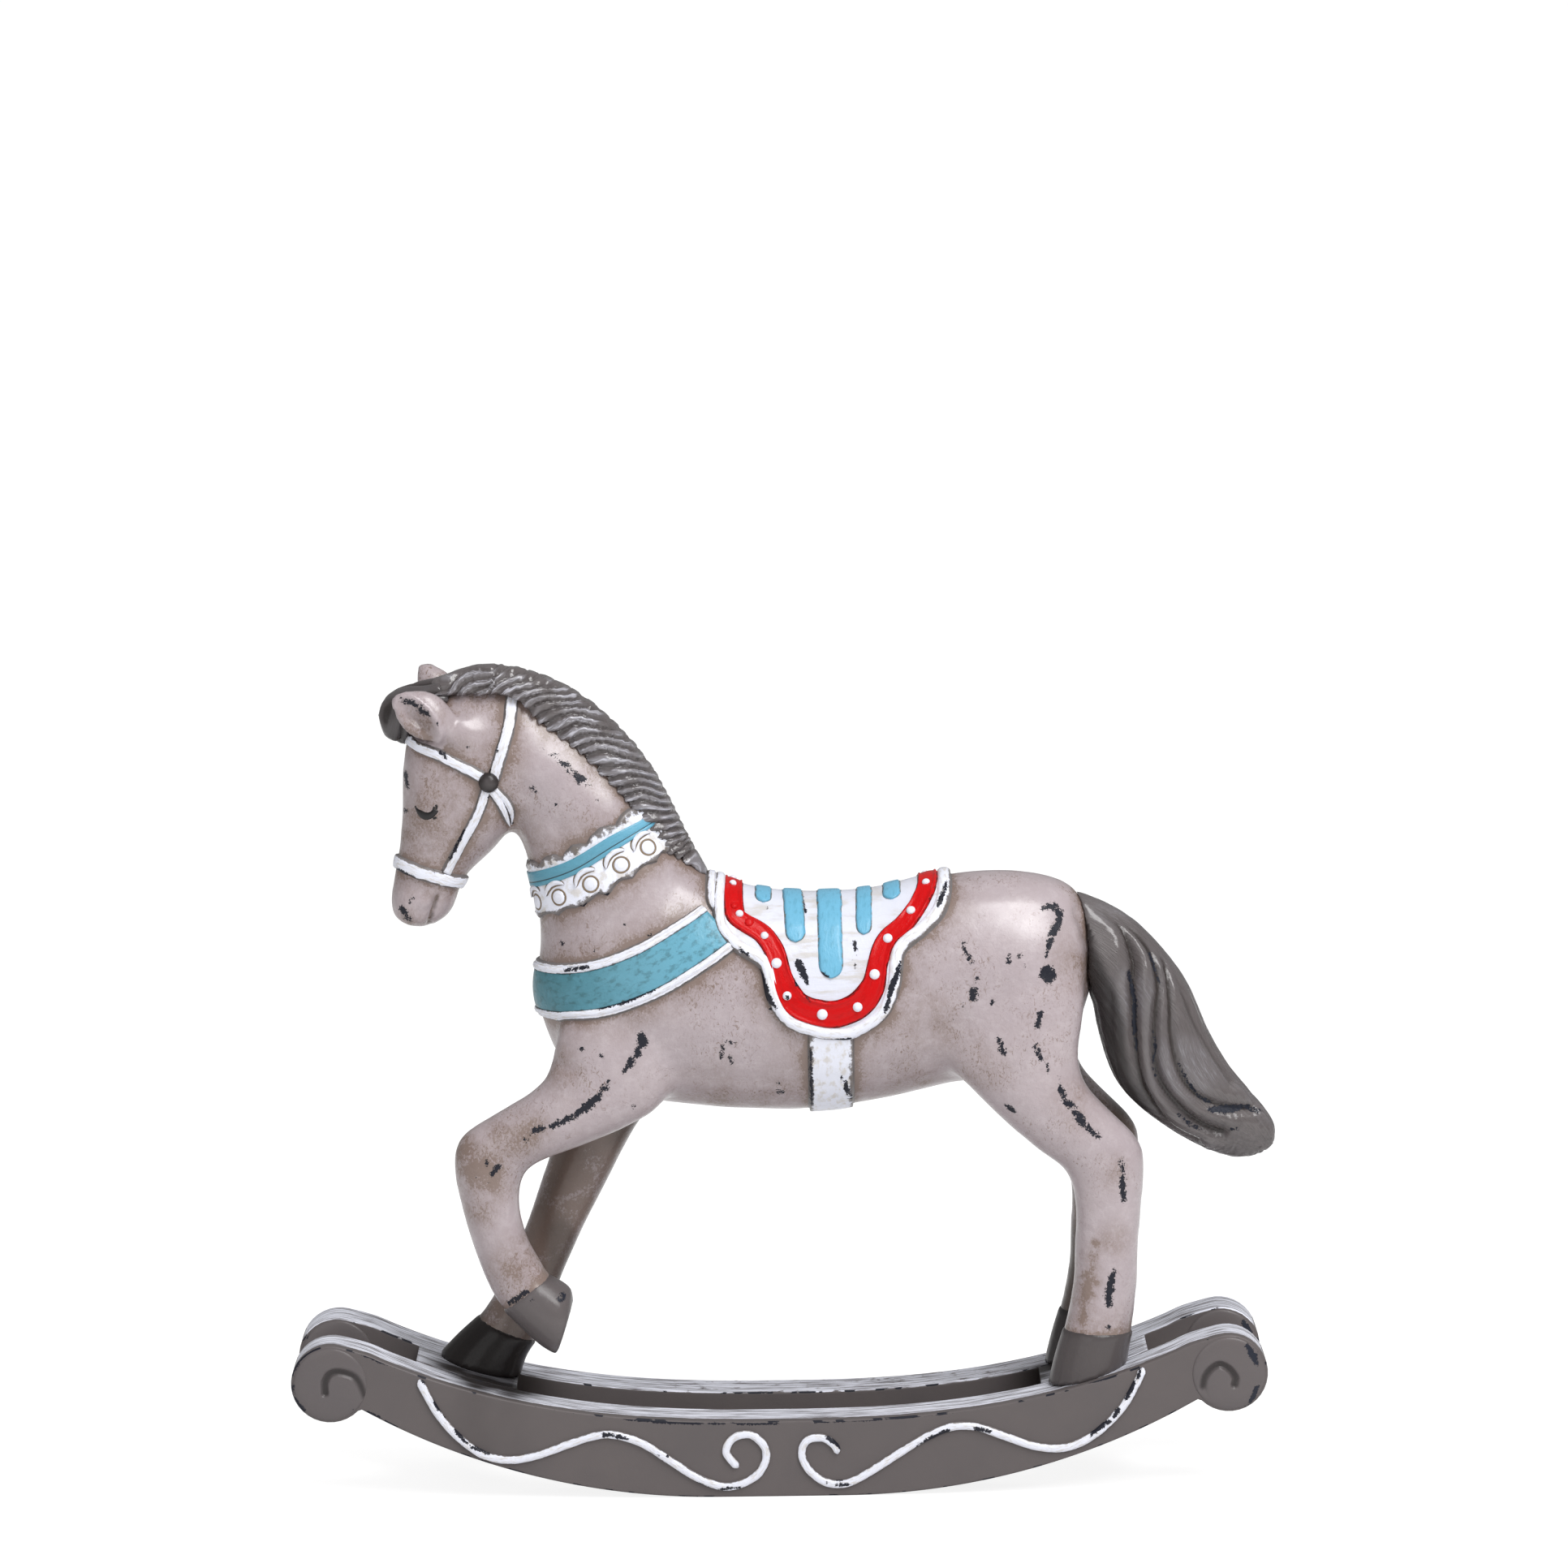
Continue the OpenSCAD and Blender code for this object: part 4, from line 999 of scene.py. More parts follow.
fieldChips = [
    [(4.1, 121.8, 0.3), (4.6, 119.7, 0.5)], [(3.2, 110.2, 0.7), (4.2, 108.3, 0.8), (5.1, 105.8, 0.35)],
    [(-3, 120.3, 0.16)], [(14.8, 113.8, 0.45), (15.2, 111.4, 0.15)],
    [(14.4, 110.3, 0.3), (14.9, 109, 0.15)], [(11.5, 121.4, 0.14)], [(12.3, 120.3, 0.2)],
]


def insideLine(x, z, line):
    inside = False
    for a, b in zip(line, line[1:] + line[:1]):
        if (a[1] > z) != (b[1] > z) and x < (b[0] - a[0]) * (z - a[1]) / (b[1] - a[1]) + a[0]:
            inside = not inside
    return inside


def makeSaddleField():
    # the seat: the skin inside the rim, lifted and given a wall
    outline = [tuple(p) for p in smoothLine(saddle["rim"], 4)]
    bm = bmesh.new()
    bm.from_mesh(horse.data)
    drop = [v for v in bm.verts if not insideLine(v.co.x / mm, v.co.z / mm, outline)]
    bmesh.ops.delete(bm, geom=drop, context="VERTS")
    bm.normal_update()
    for v in bm.verts:
        v.co += v.normal * (saddle["field"] * mm)
    bmesh.ops.solidify(bm, geom=bm.verts[:] + bm.edges[:] + bm.faces[:], thickness=1.4 * mm)
    lay = bm.verts.layers.float_vector.new("lay")
    for v in bm.verts:
        v[lay] = (v.co.z / mm, v.co.x / mm * 0.03, 0)
    return newObject("saddleField", bm, materials["seat"])


def placeOn(path, along, spacing):
    # x and z of a path so many mm along it
    p = path[int(along / spacing) % len(path)] / mm
    return p.x, p.z


def flutter(along, across, seed):
    return noise.noise(Vector((along, across, seed)))


def rimWidth(along, across):
    # slim where it climbs to the pommel, full below and behind
    x, z = placeOn(rimPath, along, saddle["step"])
    return 1 - 0.14 * smoothStep(0, -9, x) * smoothStep(108, 116, z) + 0.06 * flutter(along * 0.3, across, 2)


def redWidth(along, across):
    # broadest at the bottom of the lobe
    z = placeOn(redPath, along, saddle["step"])[1]
    return 0.94 + 0.3 * smoothStep(110, 101, z) + 0.04 * flutter(along * 0.35, across, 6)


def endRound(span, reach, least=0.1):
    # width that rounds off at both ends of an open strap
    def width(along, across):
        end = min(along, span - along) / reach
        return max(least, math.sqrt(max(0, 1 - max(0, 1 - end) ** 2)))
    return width


rimLine, redLine, rollLine = SheetLine(saddle["rim"]), SheetLine(saddle["red"]), SheetLine(saddle["roll"])
rimPath = wrapLoop(rimLine, rimLine.lengths[-1] / 2, allRound, 420, saddle["step"])
redPath = wrapLoop(redLine, redLine.lengths[-1] / 2, allRound, 420, saddle["step"])
rollPath = wrapLoop(rollLine, 0.0, overRear, 90, saddle["rollStep"])
rollEnds = endRound((len(rollPath) - 1) * saddle["rollStep"], 3.5)
# sections of the rim and the border: (across, height) in mm
rimProfile = [(-1.75, -0.5), (-1.75, 0.35), (-1.65, 0.62), (-1.42, 0.7), (-1.28, 0.66), (-1.18, 0.95),
              (-0.95, 1.35), (-0.5, 1.6), (0, 1.68), (0.6, 1.62), (1.05, 1.4), (1.3, 1.1), (1.4, 0.95),
              (1.4, -0.5)]
redHalf = [(2, -0.4), (2, 1.2), (1.93, 1.46), (1.75, 1.56), (1.55, 1.5), (1.42, 1.36), (0.7, 1.44)]
redProfile = [(-a, h) for a, h in redHalf] + [(0, 1.48)] + redHalf[::-1]
redSkirt = (0.24, saddle["field"] + 0.1)

saddleField = keep(makeSaddleField())
rimRing = layStrap("rim", rimPath, rimProfile, materials["white"], closed=True, width=rimWidth)
rollProfile = strapProfile(1.1, 1.1, 0.7, deep=0.5, crown=0.2)
rimRoll = layStrap("roll", rollPath, rollProfile, materials["white"], width=rollEnds)
saddleRim = keep(joinPieces("saddleRim", [rimRing, rimRoll]), "saddle_cloth")
redBorder = layStrap("red", redPath, redProfile, materials["red"], closed=True, width=redWidth,
                     skirt=redSkirt)
finishField(saddleField, fieldChips, shuffled(fieldChips, 3))
finishField(saddleRim, rimChips, shuffled(rimChips, 4))
print("saddle laid")


def hangPath(x, tipX, low, spacing):
    # over the seat from low on the left flank to low on the right
    sides = []
    for side in (-1, 1):
        found = []
        for k in range(91):
            a = math.radians(90 - k * 1.2)
            inside = Vector((x + (tipX - x) * min(1, k / 70), 0, 104)) * mm
            hit = skinTree.ray_cast(inside, Vector((0, side * math.cos(a), math.sin(a))))[0]
            if hit.z < low * mm:
                break
            found.append(hit)
        sides.append(found)
    return evenly(sides[0][::-1] + sides[1][1:], spacing)


def makeStripes():
    # raised tongues hanging both ways from the ridge of the seat, round at their ends
    parts = []
    base, step = saddle["field"], saddle["stripeStep"]
    slope = [(-1, -0.5), (-1, 0.1), (-0.94, 0.3), (-0.8, 0.4), (-0.5, 0.43)]
    section = slope + [(0, 0.45)] + [(-a, h) for a, h in slope[::-1]]
    for i, (x, tipX, width, low) in enumerate(saddle["stripes"]):
        path = hangPath(x, tipX, low, step)
        ends = endRound((len(path) - 1) * step, width / 2 * 1.3)

        def wavy(along, across, ends=ends, i=i):
            return ends(along, across) * (1 + 0.07 * flutter(along * 0.45, across, i * 3))
        profile = [(width / 2 * a, base + h) for a, h in section]
        parts.append(layStrap("part", path, profile, materials["stripe"], width=wavy,
                              skirt=(0.24, base + 0.04)))
    return joinPieces("saddleStripes", parts)


def domeOn(bm, lay, spot, normal, radius, height, lift, cells=10):
    # a small dome standing on the skin
    turn = normal.to_track_quat("Z", "Y").to_matrix()
    for v in bmesh.ops.create_uvsphere(bm, u_segments=20, v_segments=cells, radius=1)["verts"]:
        flat = math.hypot(v.co.x, v.co.y)
        v[lay] = (flat, flat * 0.8, 0)
        v.co = spot + turn @ (Vector((v.co.x * radius, v.co.y * radius, v.co.z * height + lift)) * mm)


def sideSpot(x, z, side):
    # where a point of the side view lies on one flank, and the way the skin faces there
    spot, normal, _, _ = skinTree.ray_cast(Vector((x * mm, side * 0.08, z * mm)), Vector((0, -side, 0)))
    return spot, normal


def makeDomes(name, spots, height, lift, material, cells=10):
    # a dome on each flank at every (x, z, radius)
    bm = bmesh.new()
    lay = bm.verts.layers.float_vector.new("lay")
    for x, z, radius in spots:
        for side in (-1, 1):
            spot, normal = sideSpot(x, z, side)
            domeOn(bm, lay, spot, normal, radius, height, lift, cells)
    bmesh.ops.recalc_face_normals(bm, faces=bm.faces)
    return newObject(name, bm, material)


redStuds = makeDomes("redStuds", saddle["redStuds"], 0.45, 1.42, materials["red"])
saddleRed = keep(joinPieces("saddleRed", [redBorder, redStuds]), "saddle_border")
saddleStripes = keep(makeStripes(), "saddle_stripes")
saddleStuds = keep(makeDomes("saddleStuds", saddle["studs"], 0.7, 1.42, materials["white"]), "saddle_studs")
finishField(saddleRed, [[(2.6, 107, 0.18), (3, 105.6, 0.2)], [(4.9, 103.2, 0.2), (5.6, 102.6, 0.15)]], [])
finishField(saddleStripes, [[(8.2, 108, 0.3), (9.2, 107.3, 0.3)]], [])
finishField(saddleStuds, [[(1.1, 103.4, 0.45)]], [])
print("stripes and studs made")

bands = {
    "breast": [(-56, 103.4), (-46, 103.5), (-37, 105), (-27, 108.8), (-18, 113.9), (-12.8, 117.1)],
    "collar": [
        (-60, 120.7), (-58, 121.1), (-51, 123.5), (-41.6, 127.2), (-34, 131.8), (-25.4, 137), (-22, 139),
    ],
    "girth": [(9.7, 100), (9.7, 90), (9.7, 70)],
    # lengths in mm of the waves above and the lobes below on the collar's lace
    "wave": 5.6, "lobe": 6.6,
}
bandChips = [
    [(-37.5, 101.2, 0.35), (-30.8, 103.5, 0.6), (-26.3, 105.3, 0.55)], [(-21.7, 107.9, 0.4)],
    [(-44.6, 108.4, 0.3), (-39.7, 109.4, 0.3)], [(-33, 102.3, 0.35), (-29, 104, 0.4)],
]
laceChips = [
    [(-41, 121.4, 0.3), (-38.6, 121.8, 0.45), (-36.9, 122.6, 0.5), (-35.4, 124.2, 0.3)],
    [(-56.6, 117.4, 0.2), (-55, 116.9, 0.3)], [(-27.4, 133, 0.2), (-26.6, 132, 0.25)],
]
girthChips = [
    [(12, 86, 0.35), (13, 83, 0.6), (13.6, 80.9, 0.4)],
    [(5.5, 92.4, 0.2), (5.6, 86, 0.3), (5.8, 79.7, 0.35)],
]

breastLine = SheetLine(bands["breast"])
breastPath = wrapLoop(breastLine, breastLine.lengths[-1], overFront, 260, 0.7)
bandProfile = strapProfile(3.95, 0.8, 0.2, crown=0.2)
breastBand = keep(layStrap("breastBand", breastPath, bandProfile, materials["teal"]), "breast_band")
finishField(breastBand)


def makePiping():
    # along each edge of the band a flat ledge outside and a round cord inside
    ledge = [(-1.05, -0.4), (-1.05, 0.45), (-0.95, 0.66), (-0.7, 0.72), (-0.5, 0.66), (-0.42, 0.86)]
    cord = [(-0.15, 1.12), (0.25, 1.18), (0.65, 1.06), (0.86, 0.8), (0.9, 0.5), (0.9, -0.4)]
    parts = []
    for side in (-1, 1):
        profile = [(side * (4.8 - a), h) for a, h in ledge + cord]
        parts.append(layStrap("pipe", breastPath, profile, materials["white"]))
    return joinPieces("breastPiping", parts)


breastPiping = keep(makePiping(), "breast_band_piping")
finishField(breastPiping, bandChips, shuffled(bandChips, 5))

collarLine = SheetLine(bands["collar"])
collarPath = wrapLoop(collarLine, collarLine.lengths[-1] * 0.52, allRound, 300, 0.5)
collarStep = (collarPath[1] - collarPath[0]).length / mm
collarLen = (len(collarPath) - 1) * collarStep
collarTurn = -1


def wave(along, length, shift=0.0):
    # 0 in the notches and 1 on the bulges, a whole number of times round the collar
    count = round(collarLen / length)
    return abs(math.sin(math.pi * count * along / collarLen + shift)) ** 0.7


def scallop(along, across):
    # wavy edges: short waves above, longer lobes below
    if abs(across) < 5:
        return 1
    if across * collarTurn > 0:
        wander = 0.08 * flutter(along * 0.6, 1, 1)
        return 1.07 - 0.17 * wave(along, bands["wave"], wander * 9) + wander
    return 0.88 + 0.24 * wave(along, bands["lobe"]) + 0.04 * flutter(along * 0.7, 5, 1)


def ribbonWidth(along, across):
    # narrower towards the mane
    return 1.05 - 0.3 * smoothStep(-34, -25, placeOn(collarPath, along, collarStep)[0])


laceHalf = [(5.5, -0.4), (5.5, 0.42), (5.4, 0.68), (5.1, 0.85), (4.7, 0.83), (4.4, 0.72)]
laceProfile = [(-a, h) for a, h in laceHalf] + [(a, 0.72) for a in range(-3, 4)] + laceHalf[::-1]
collarLace = keep(layStrap("collarLace", collarPath, laceProfile, materials["white"], closed=True,
                           turn=collarTurn, width=scallop), "collar_lace")
finishField(collarLace, laceChips, shuffled(laceChips, 6))
# the ribbon has a groove along it
ribbonProfile = [(0.75, 0.3), (0.75, 0.86), (0.85, 0.96), (1.57, 0.98), (1.7, 0.84), (1.83, 0.98),
                 (2.55, 0.98), (3.25, 0.98), (3.65, 0.96), (3.75, 0.86), (3.75, 0.3)]
collarRibbon = keep(layStrap("collarRibbon", collarPath, ribbonProfile, materials["ribbon"], closed=True,
                             turn=collarTurn, width=ribbonWidth), "collar_ribbon")
finishField(collarRibbon)

girthPath = wrapLoop(SheetLine(bands["girth"]), 3, overRear, 200, 0.6)
girthProfile = strapProfile(4.5, 0.85, 0.4)
girthStrap = keep(layStrap("girthStrap", girthPath, girthProfile, materials["white"]), "girth_strap")
finishField(girthStrap, girthChips, shuffled(girthChips, 7))
print("bands laid")

bridle = {
    "boss": (-59.4, 147.0),
    "brow": [
        (-82, 158.6), (-76.9, 155.8), (-73, 153.8), (-69.6, 152.6), (-66.3, 150.9), (-63, 149.3),
        (-60.2, 147.7),
    ],
    "cheek": [(-60, 145.4), (-60.9, 142.6), (-62.4, 139.2), (-65.9, 133), (-68.6, 128.0)],
    "crown": [
        (-58.4, 147.6), (-57.3, 151.1), (-56.3, 154.3), (-55.3, 157.6), (-54.8, 160.7), (-54.5, 164.6),
    ],
    "nose": [(-86, 131.6), (-78.7, 129.8), (-73.4, 128), (-66.9, 126), (-58, 123.4)],
    "half": {"brow": 1.02, "cheek": 0.92, "crown": 1.12, "nose": 1.3},
    # two short tabs below the boss
    "tabs": [
        [(-59, 145.2), (-57.8, 143.5), (-56.9, 141.6), (-56.2, 139.4), (-55.7, 137.6)],
        [(-58.2, 145.6), (-56.2, 143.3), (-55.2, 141.5), (-54.9, 139.8), (-55.3, 138)],
    ],
}
bridleChips = [
    [(-69.2, 153.2, 0.3), (-68, 152.2, 0.4)], [(-57.8, 155.2, 0.2), (-57.5, 153.6, 0.25)],
    [(-60.2, 148.4, 0.35), (-59.2, 149.6, 0.25)],
    [(-64.6, 137, 0.16), (-66.4, 133.4, 0.25), (-67.6, 131, 0.16)],
    [(-78.4, 128.4, 0.4), (-76.6, 127.6, 0.42), (-75.2, 127.2, 0.3)], [(-71, 128.2, 0.3)],
]


def unevenly(along, across):
    # brushed-on edges that wander a little
    return 1 + 0.13 * flutter(along * 0.55, across * 2, 4)


def makeSideStraps(name, points, half):
    parts = []
    for side in (-1, 1):
        profile = strapProfile(half, 0.65, 0.3, crown=0.08)
        path = sidePath(points, side, 0.5)
        parts.append(layStrap("part", path, profile, materials["white"], width=unevenly))
    return joinPieces(name, parts)


half = bridle["half"]
cheekStraps = keep(makeSideStraps("cheekStraps", bridle["cheek"], half["cheek"]), "cheek_straps")
crownStrap = keep(makeSideStraps("crownStrap", bridle["crown"], half["crown"]), "crown_strap")
browLine = SheetLine(bridle["brow"])
browPath = wrapLoop(browLine, browLine.lengths[-1], overFront, 200, 0.5)
browProfile = strapProfile(half["brow"], 0.7, 0.3, crown=0.08)
browBand = keep(layStrap("browBand", browPath, browProfile, materials["white"], width=unevenly), "browband")
noseLine = SheetLine(bridle["nose"])
nosePath = wrapLoop(noseLine, noseLine.lengths[-1] * 0.5, allRound, 160, 0.45)
noseBand = keep(layStrap("noseBand", nosePath, strapProfile(half["nose"], 0.8, 0.35), materials["white"],
                         closed=True, width=unevenly), "noseband")
for strap in (cheekStraps, crownStrap, browBand, noseBand):
    finishField(strap, bridleChips, shuffled(bridleChips, 8))


def makeLatch():
    # tabs that narrow to their tips
    parts = []
    for side in (-1, 1):
        for points in bridle["tabs"]:
            path = sidePath(points, side, 0.4)
            span = (len(path) - 1) * 0.4

            def narrow(along, across, span=span):
                return max(0.12, math.sin(math.pi * min(1, 0.25 + 0.75 * along / span)) ** 0.6)
            profile = strapProfile(0.75, 0.7, 0.3)
            parts.append(layStrap("part", path, profile, materials["white"], width=narrow))
    return joinPieces("throatLatch", parts)


def makeCollarBeads():
    # round dots, each in a painted ring with a small crescent over it
    bm = bmesh.new()
    lay = bm.verts.layers.float_vector.new("lay")
    count = round(collarLen / bands["lobe"])
    rows = len(collarPath) - 1
    frames = railFrames(collarPath[:-1], True)
    below = -2.4
    straps = []
    for k in range(count):
        i = int(rows * (k + 0.5) / count) % rows
        go, up, side = frames[i]

        def arcPath(radius, first, last, steps):
            out = []
            for j in range(steps + 1):
                a = math.radians(first + (last - first) * j / steps)
                ahead = go * (radius * math.sin(a) * mm)
                rise = side * ((radius * math.cos(a) + below) * collarTurn * mm)
                out.append(nearSkin(collarPath[i] + ahead + rise)[0])
            return evenly(out, 0.3)

        spot, normal = nearSkin(collarPath[i] + side * (below * collarTurn * mm))
        domeOn(bm, lay, spot, (normal + up).normalized(), 1.45, 0.42, 0.7, 12)
        arc = arcPath(3.05, -72, 44, 12)
        span = (len(arc) - 1) * 0.3
        moon = endRound(span, span * 0.42, 0.15)
        dirt = [(-0.22, 0.3), (-0.2, 0.76), (0, 0.8), (0.2, 0.76), (0.22, 0.3)]
        crescent = [(-0.6, 0.3), (-0.55, 0.95), (-0.25, 1.25), (0.25, 1.25), (0.55, 0.95), (0.6, 0.3)]
        straps += [
            layStrap("ring", arcPath(1.62, -180, 178, 26), dirt, materials["line"], skirt=None),
            layStrap("edge", arc, [(a * 4.2, h) for a, h in dirt], materials["line"], width=moon, skirt=None),
            layStrap("moon", arc, crescent, materials["white"], width=moon, skirt=None),
        ]
    bmesh.ops.recalc_face_normals(bm, faces=bm.faces)
    return joinPieces("collarBeads", [newObject("dots", bm, materials["white"])] + straps)


def footDirtAndShade(obj):
    # dirt and painted shade round the foot of the boss on each side
    co = meshArrays(obj)[0]
    away = []
    for side in (-1, 1):
        here = co[:, 1] * side > 0
        away.append(np.linalg.norm(co - co[here].mean(axis=0), axis=1) + 9 * ~here)
    return 0.85 * smoothArray(np.minimum(*away), 1.3, 2.1)


throatLatch = keep(makeLatch(), "throat_latch")
bossSpots = [(*bridle["boss"], 2.1)]
bridleBosses = keep(makeDomes("bridleBosses", bossSpots, 1.7, 0.5, materials["hoof"], 14), "bridle_bosses")
collarBeads = keep(makeCollarBeads(), "collar_beads")
finishField(throatLatch)
finishField(collarBeads)
finishField(bridleBosses, inkAndShade=footDirtAndShade(bridleBosses))

lids = {
    "arc": [
        (-74.6, 141.9), (-74.1, 141.0), (-73.3, 140.3), (-72.5, 140.0), (-71.7, 140.1), (-70.9, 140.6),
        (-70.3, 141.4),
    ],
    "lashes": [
        [(-70.5, 141.0), (-70.1, 141.9), (-70.3, 142.4)], [(-70.9, 141.2), (-70.6, 142)],
        [(-70.8, 140.4), (-70, 141.0)], [(-70.9, 139.5), (-70.2, 139.8)], [(-72.8, 139.8), (-73.6, 140.2)],
    ],
    # sections of both: (across, height)
    "lid": [(-0.5, -0.3), (-0.5, 0.02), (-0.3, 0.14), (0, 0.18), (0.3, 0.14), (0.5, 0.02), (0.5, -0.3)],
    "lash": [(-0.22, -0.2), (-0.2, 0.1), (0, 0.16), (0.2, 0.1), (0.22, -0.2)],
}


def makeEyelids():
    # closed lids: a thick black arc, thin at the front, with a smudge of lashes behind
    parts = []
    for side in (-1, 1):
        arc = sidePath(lids["arc"], side, 0.2)
        span = (len(arc) - 1) * 0.2

        def thick(along, across, span=span):
            share = along / span
            return 0.4 + 1.25 * smoothStep(0, 0.4, share) * (1 - 0.35 * smoothStep(0.45, 0.9, share))
        parts.append(layStrap("part", arc, lids["lid"], materials["inkAndShade"], width=thick, skirt=None))
        for line in lids["lashes"]:
            path = sidePath(line, side, 0.2, 3)
            parts.append(layStrap("part", path, lids["lash"], materials["inkAndShade"], skirt=None))
    return joinPieces("closedLids", parts)


closedLids = keep(makeEyelids(), "eyelids")
finishField(closedLids)
print("bridle and lids laid")

mane = {
    "root": [
        (-22, 124.6), (-27, 128.6), (-34.6, 139.2), (-40.4, 147), (-47, 153), (-54.4, 156.6), (-61, 158),
        (-65.6, 160), (-69, 161),
    ],
    "voxel": 0.42, "period": 2.4, "slant": 0.95, "depth": 1.15,
    # thin near the head: what hangs below this line (x, z) sinks into the neck
    "under": [(-70, 164.4), (-56.8, 164.9), (-52.6, 163), (-49, 158.6), (-46, 150)],
    # the front lobe that runs into the forelock: middle, half sizes
    "lobes": [((-67.5, 0, 163.6), (6.5, 5, 4.6)), ((-72.5, -0.5, 162.2), (5.4, 5, 3.2))],
}


def hairCopy(name, node, size, passes, lobes=()):
    # lobes are extra swellings: middle and half sizes in mm
    obj = joinedCopy(name, [node])
    bm = bmesh.new()
    bm.from_mesh(obj.data)
    for middle, sizes in lobes:
        for v in bmesh.ops.create_uvsphere(bm, u_segments=28, v_segments=20, radius=mm)["verts"]:
            v.co = Vector(middle) * mm + Vector([v.co[k] * sizes[k] for k in range(3)])
    bm.to_mesh(obj.data)
    bm.free()
    voxelSkin(obj, size)
    relax(obj, passes)
    return obj


def strandRidge(phase, valley):
    # rounded strands with a narrow valley between: 1 on a strand, 0 in the valley
    gap = np.abs(phase - np.round(phase)) * 2
    return 1 - np.exp(-(gap / valley) ** 2)


def lineShare(line, co):
    # for every point: length along a side-view line and signed distance from it
    pts = np.array([tuple(p) for p in smoothLine(line, 6)])
    p = co[:, (0, 2)]
    best = np.full(len(p), 1e9)
    along = np.zeros(len(p))
    off = np.zeros(len(p))
    run = 0.0
    for a, b in zip(pts[:-1], pts[1:]):
        d = b - a
        length = np.linalg.norm(d)
        t = np.clip(((p - a) @ d) / (length * length), 0, 1)
        q = a + t[:, None] * d
        gap = np.linalg.norm(p - q, axis=1)
        sign = np.sign(d[0] * (p - a)[:, 1] - d[1] * (p - a)[:, 0])
        better = gap < best
        best = np.where(better, gap, best)
        along = np.where(better, run + t * length, along)
        off = np.where(better, sign * gap, off)
        run += length
    return along, off, run


def makeMane():
    # strands sweep back from the root of the mane to its crest
    obj = hairCopy("maneHair", "mane", mane["voxel"], 12, mane["lobes"])
    co, no = meshArrays(obj)
    underX, underZ = zip(*mane["under"])
    under = np.interp(co[:, 0], underX, underZ)
    hanging = smoothArray(co[:, 2], under + 0.4, under - 0.8) * smoothArray(co[:, 0], -46, -50)
    co[:, 1] *= 1 - 0.5 * hanging * (co[:, 0] > -70)
    along, off, total = lineShare(mane["root"], co)
    share = along / total
    off = np.abs(off)
    sweep = along + mane["slant"] * off + 0.9 * np.sin(off * 0.55) + drift(co, 0.16, 3) * 1.1
    strand = strandRidge(sweep / mane["period"], 0.36)
    thin = strandRidge(sweep / mane["period"] * 2 + 0.5 + drift(co, 0.25, 9) * 0.5, 0.26)
    flank = np.clip(np.abs(no[:, 1]) * 2.2 + 0.1, 0, 1)
    clear = smoothArray(share, 1.3, 1.0) * smoothArray(off, 0.6, 2.4)
    relief = (strand - 0.85) + (thin - 0.85) * 0.4
    co += no * (relief * mane["depth"] * flank * (0.2 + 0.8 * clear))[:, None]
    setPlaces(obj, co)
    setLay(obj, sweep, off)
    carved = flank * clear
    setField(obj, "ridge", (0.72 * strand + 0.28 * thin) * carved + 0.6 * (1 - carved))
    setField(obj, "dryBrush", carved * smoothArray(drift(co, 0.2, 5), -0.4, 0.05))
    obj.data.materials.append(materials["hair"])
    finishField(obj, inkAndShade=0.22 * smoothArray(off, 4.5, 1.5))
    return obj


tail = {
    "axis": [
        (57.5, 115), (65, 110), (69, 105.4), (73.4, 98), (76.6, 92.4), (79.6, 86), (84.8, 79.2),
        (91.8, 73), (97, 69.4), (100, 68),
    ],
    "half": [8.6, 10.2, 11, 11.6, 11.4, 9.6, 9.4, 7.4, 5.2, 2.2],
    "voxel": 0.5,
    # valleys between the locks: points (x, z), depth, half-width
    "valleys": [
        ([(63.6, 119.3), (66.1, 118), (69, 115.4), (70.9, 112), (71.9, 107.4), (71.5, 103.4), (71.8, 98),
          (72.2, 90.3), (73.2, 83.4), (75.7, 78), (79.4, 73.2), (84.6, 70.2)], 1.7, 1.0),
        ([(66.5, 119.4), (70.4, 116), (74.2, 112), (76.2, 108), (77, 102.8), (76.3, 97), (75.8, 88.7),
          (77.3, 82.7), (81.5, 77.2), (85.7, 73.8), (90, 72)], 1.4, 1.0),
        ([(71.1, 116.8), (75.6, 112.4), (78.6, 107.3), (79.4, 100.2), (79.4, 93.7), (80.6, 86.9),
          (82.6, 82.4), (86, 79.4), (91, 77.6), (96, 77)], 1.1, 0.9),
        ([(80.6, 106.4), (82.2, 101.4), (84.4, 95.4), (88.4, 88.4), (92.2, 82.8)], 0.7, 1.0),
    ],
    # the hollow front of the tail is painted nearly black: dark paint and painted shade
    "hollow": [
        (64.4, 112), (66.6, 107), (69.2, 101.6), (70.8, 95.5), (71, 90.3), (72.4, 83.6), (76, 76.8),
        (80, 72), (86, 68),
    ],
}
tailChips = [
    [(70.9, 106.1, 0.3), (72.1, 100.4, 0.42), (72, 93.6, 0.34), (72.5, 89.7, 0.2)],
    [(75.8, 93.6, 0.2), (76.2, 90.7, 0.24), (75.8, 86.8, 0.14), (76.3, 84.2, 0.14)],
    [(81.1, 86.7, 0.16), (83, 82.8, 0.2), (85, 80, 0.25), (87.3, 78.6, 0.25)],
    [(87.3, 77.2, 0.4), (90.7, 77, 0.75), (94.6, 77.2, 0.45), (98.2, 75.9, 0.2)],
    [(91.8, 72.9, 0.3), (93.5, 72.8, 0.2)], [(80.8, 76, 0.2), (83.9, 73.6, 0.3), (85.9, 72.6, 0.2)],
    [(75.2, 109.5, 0.18), (77.2, 103.6, 0.2)],
]


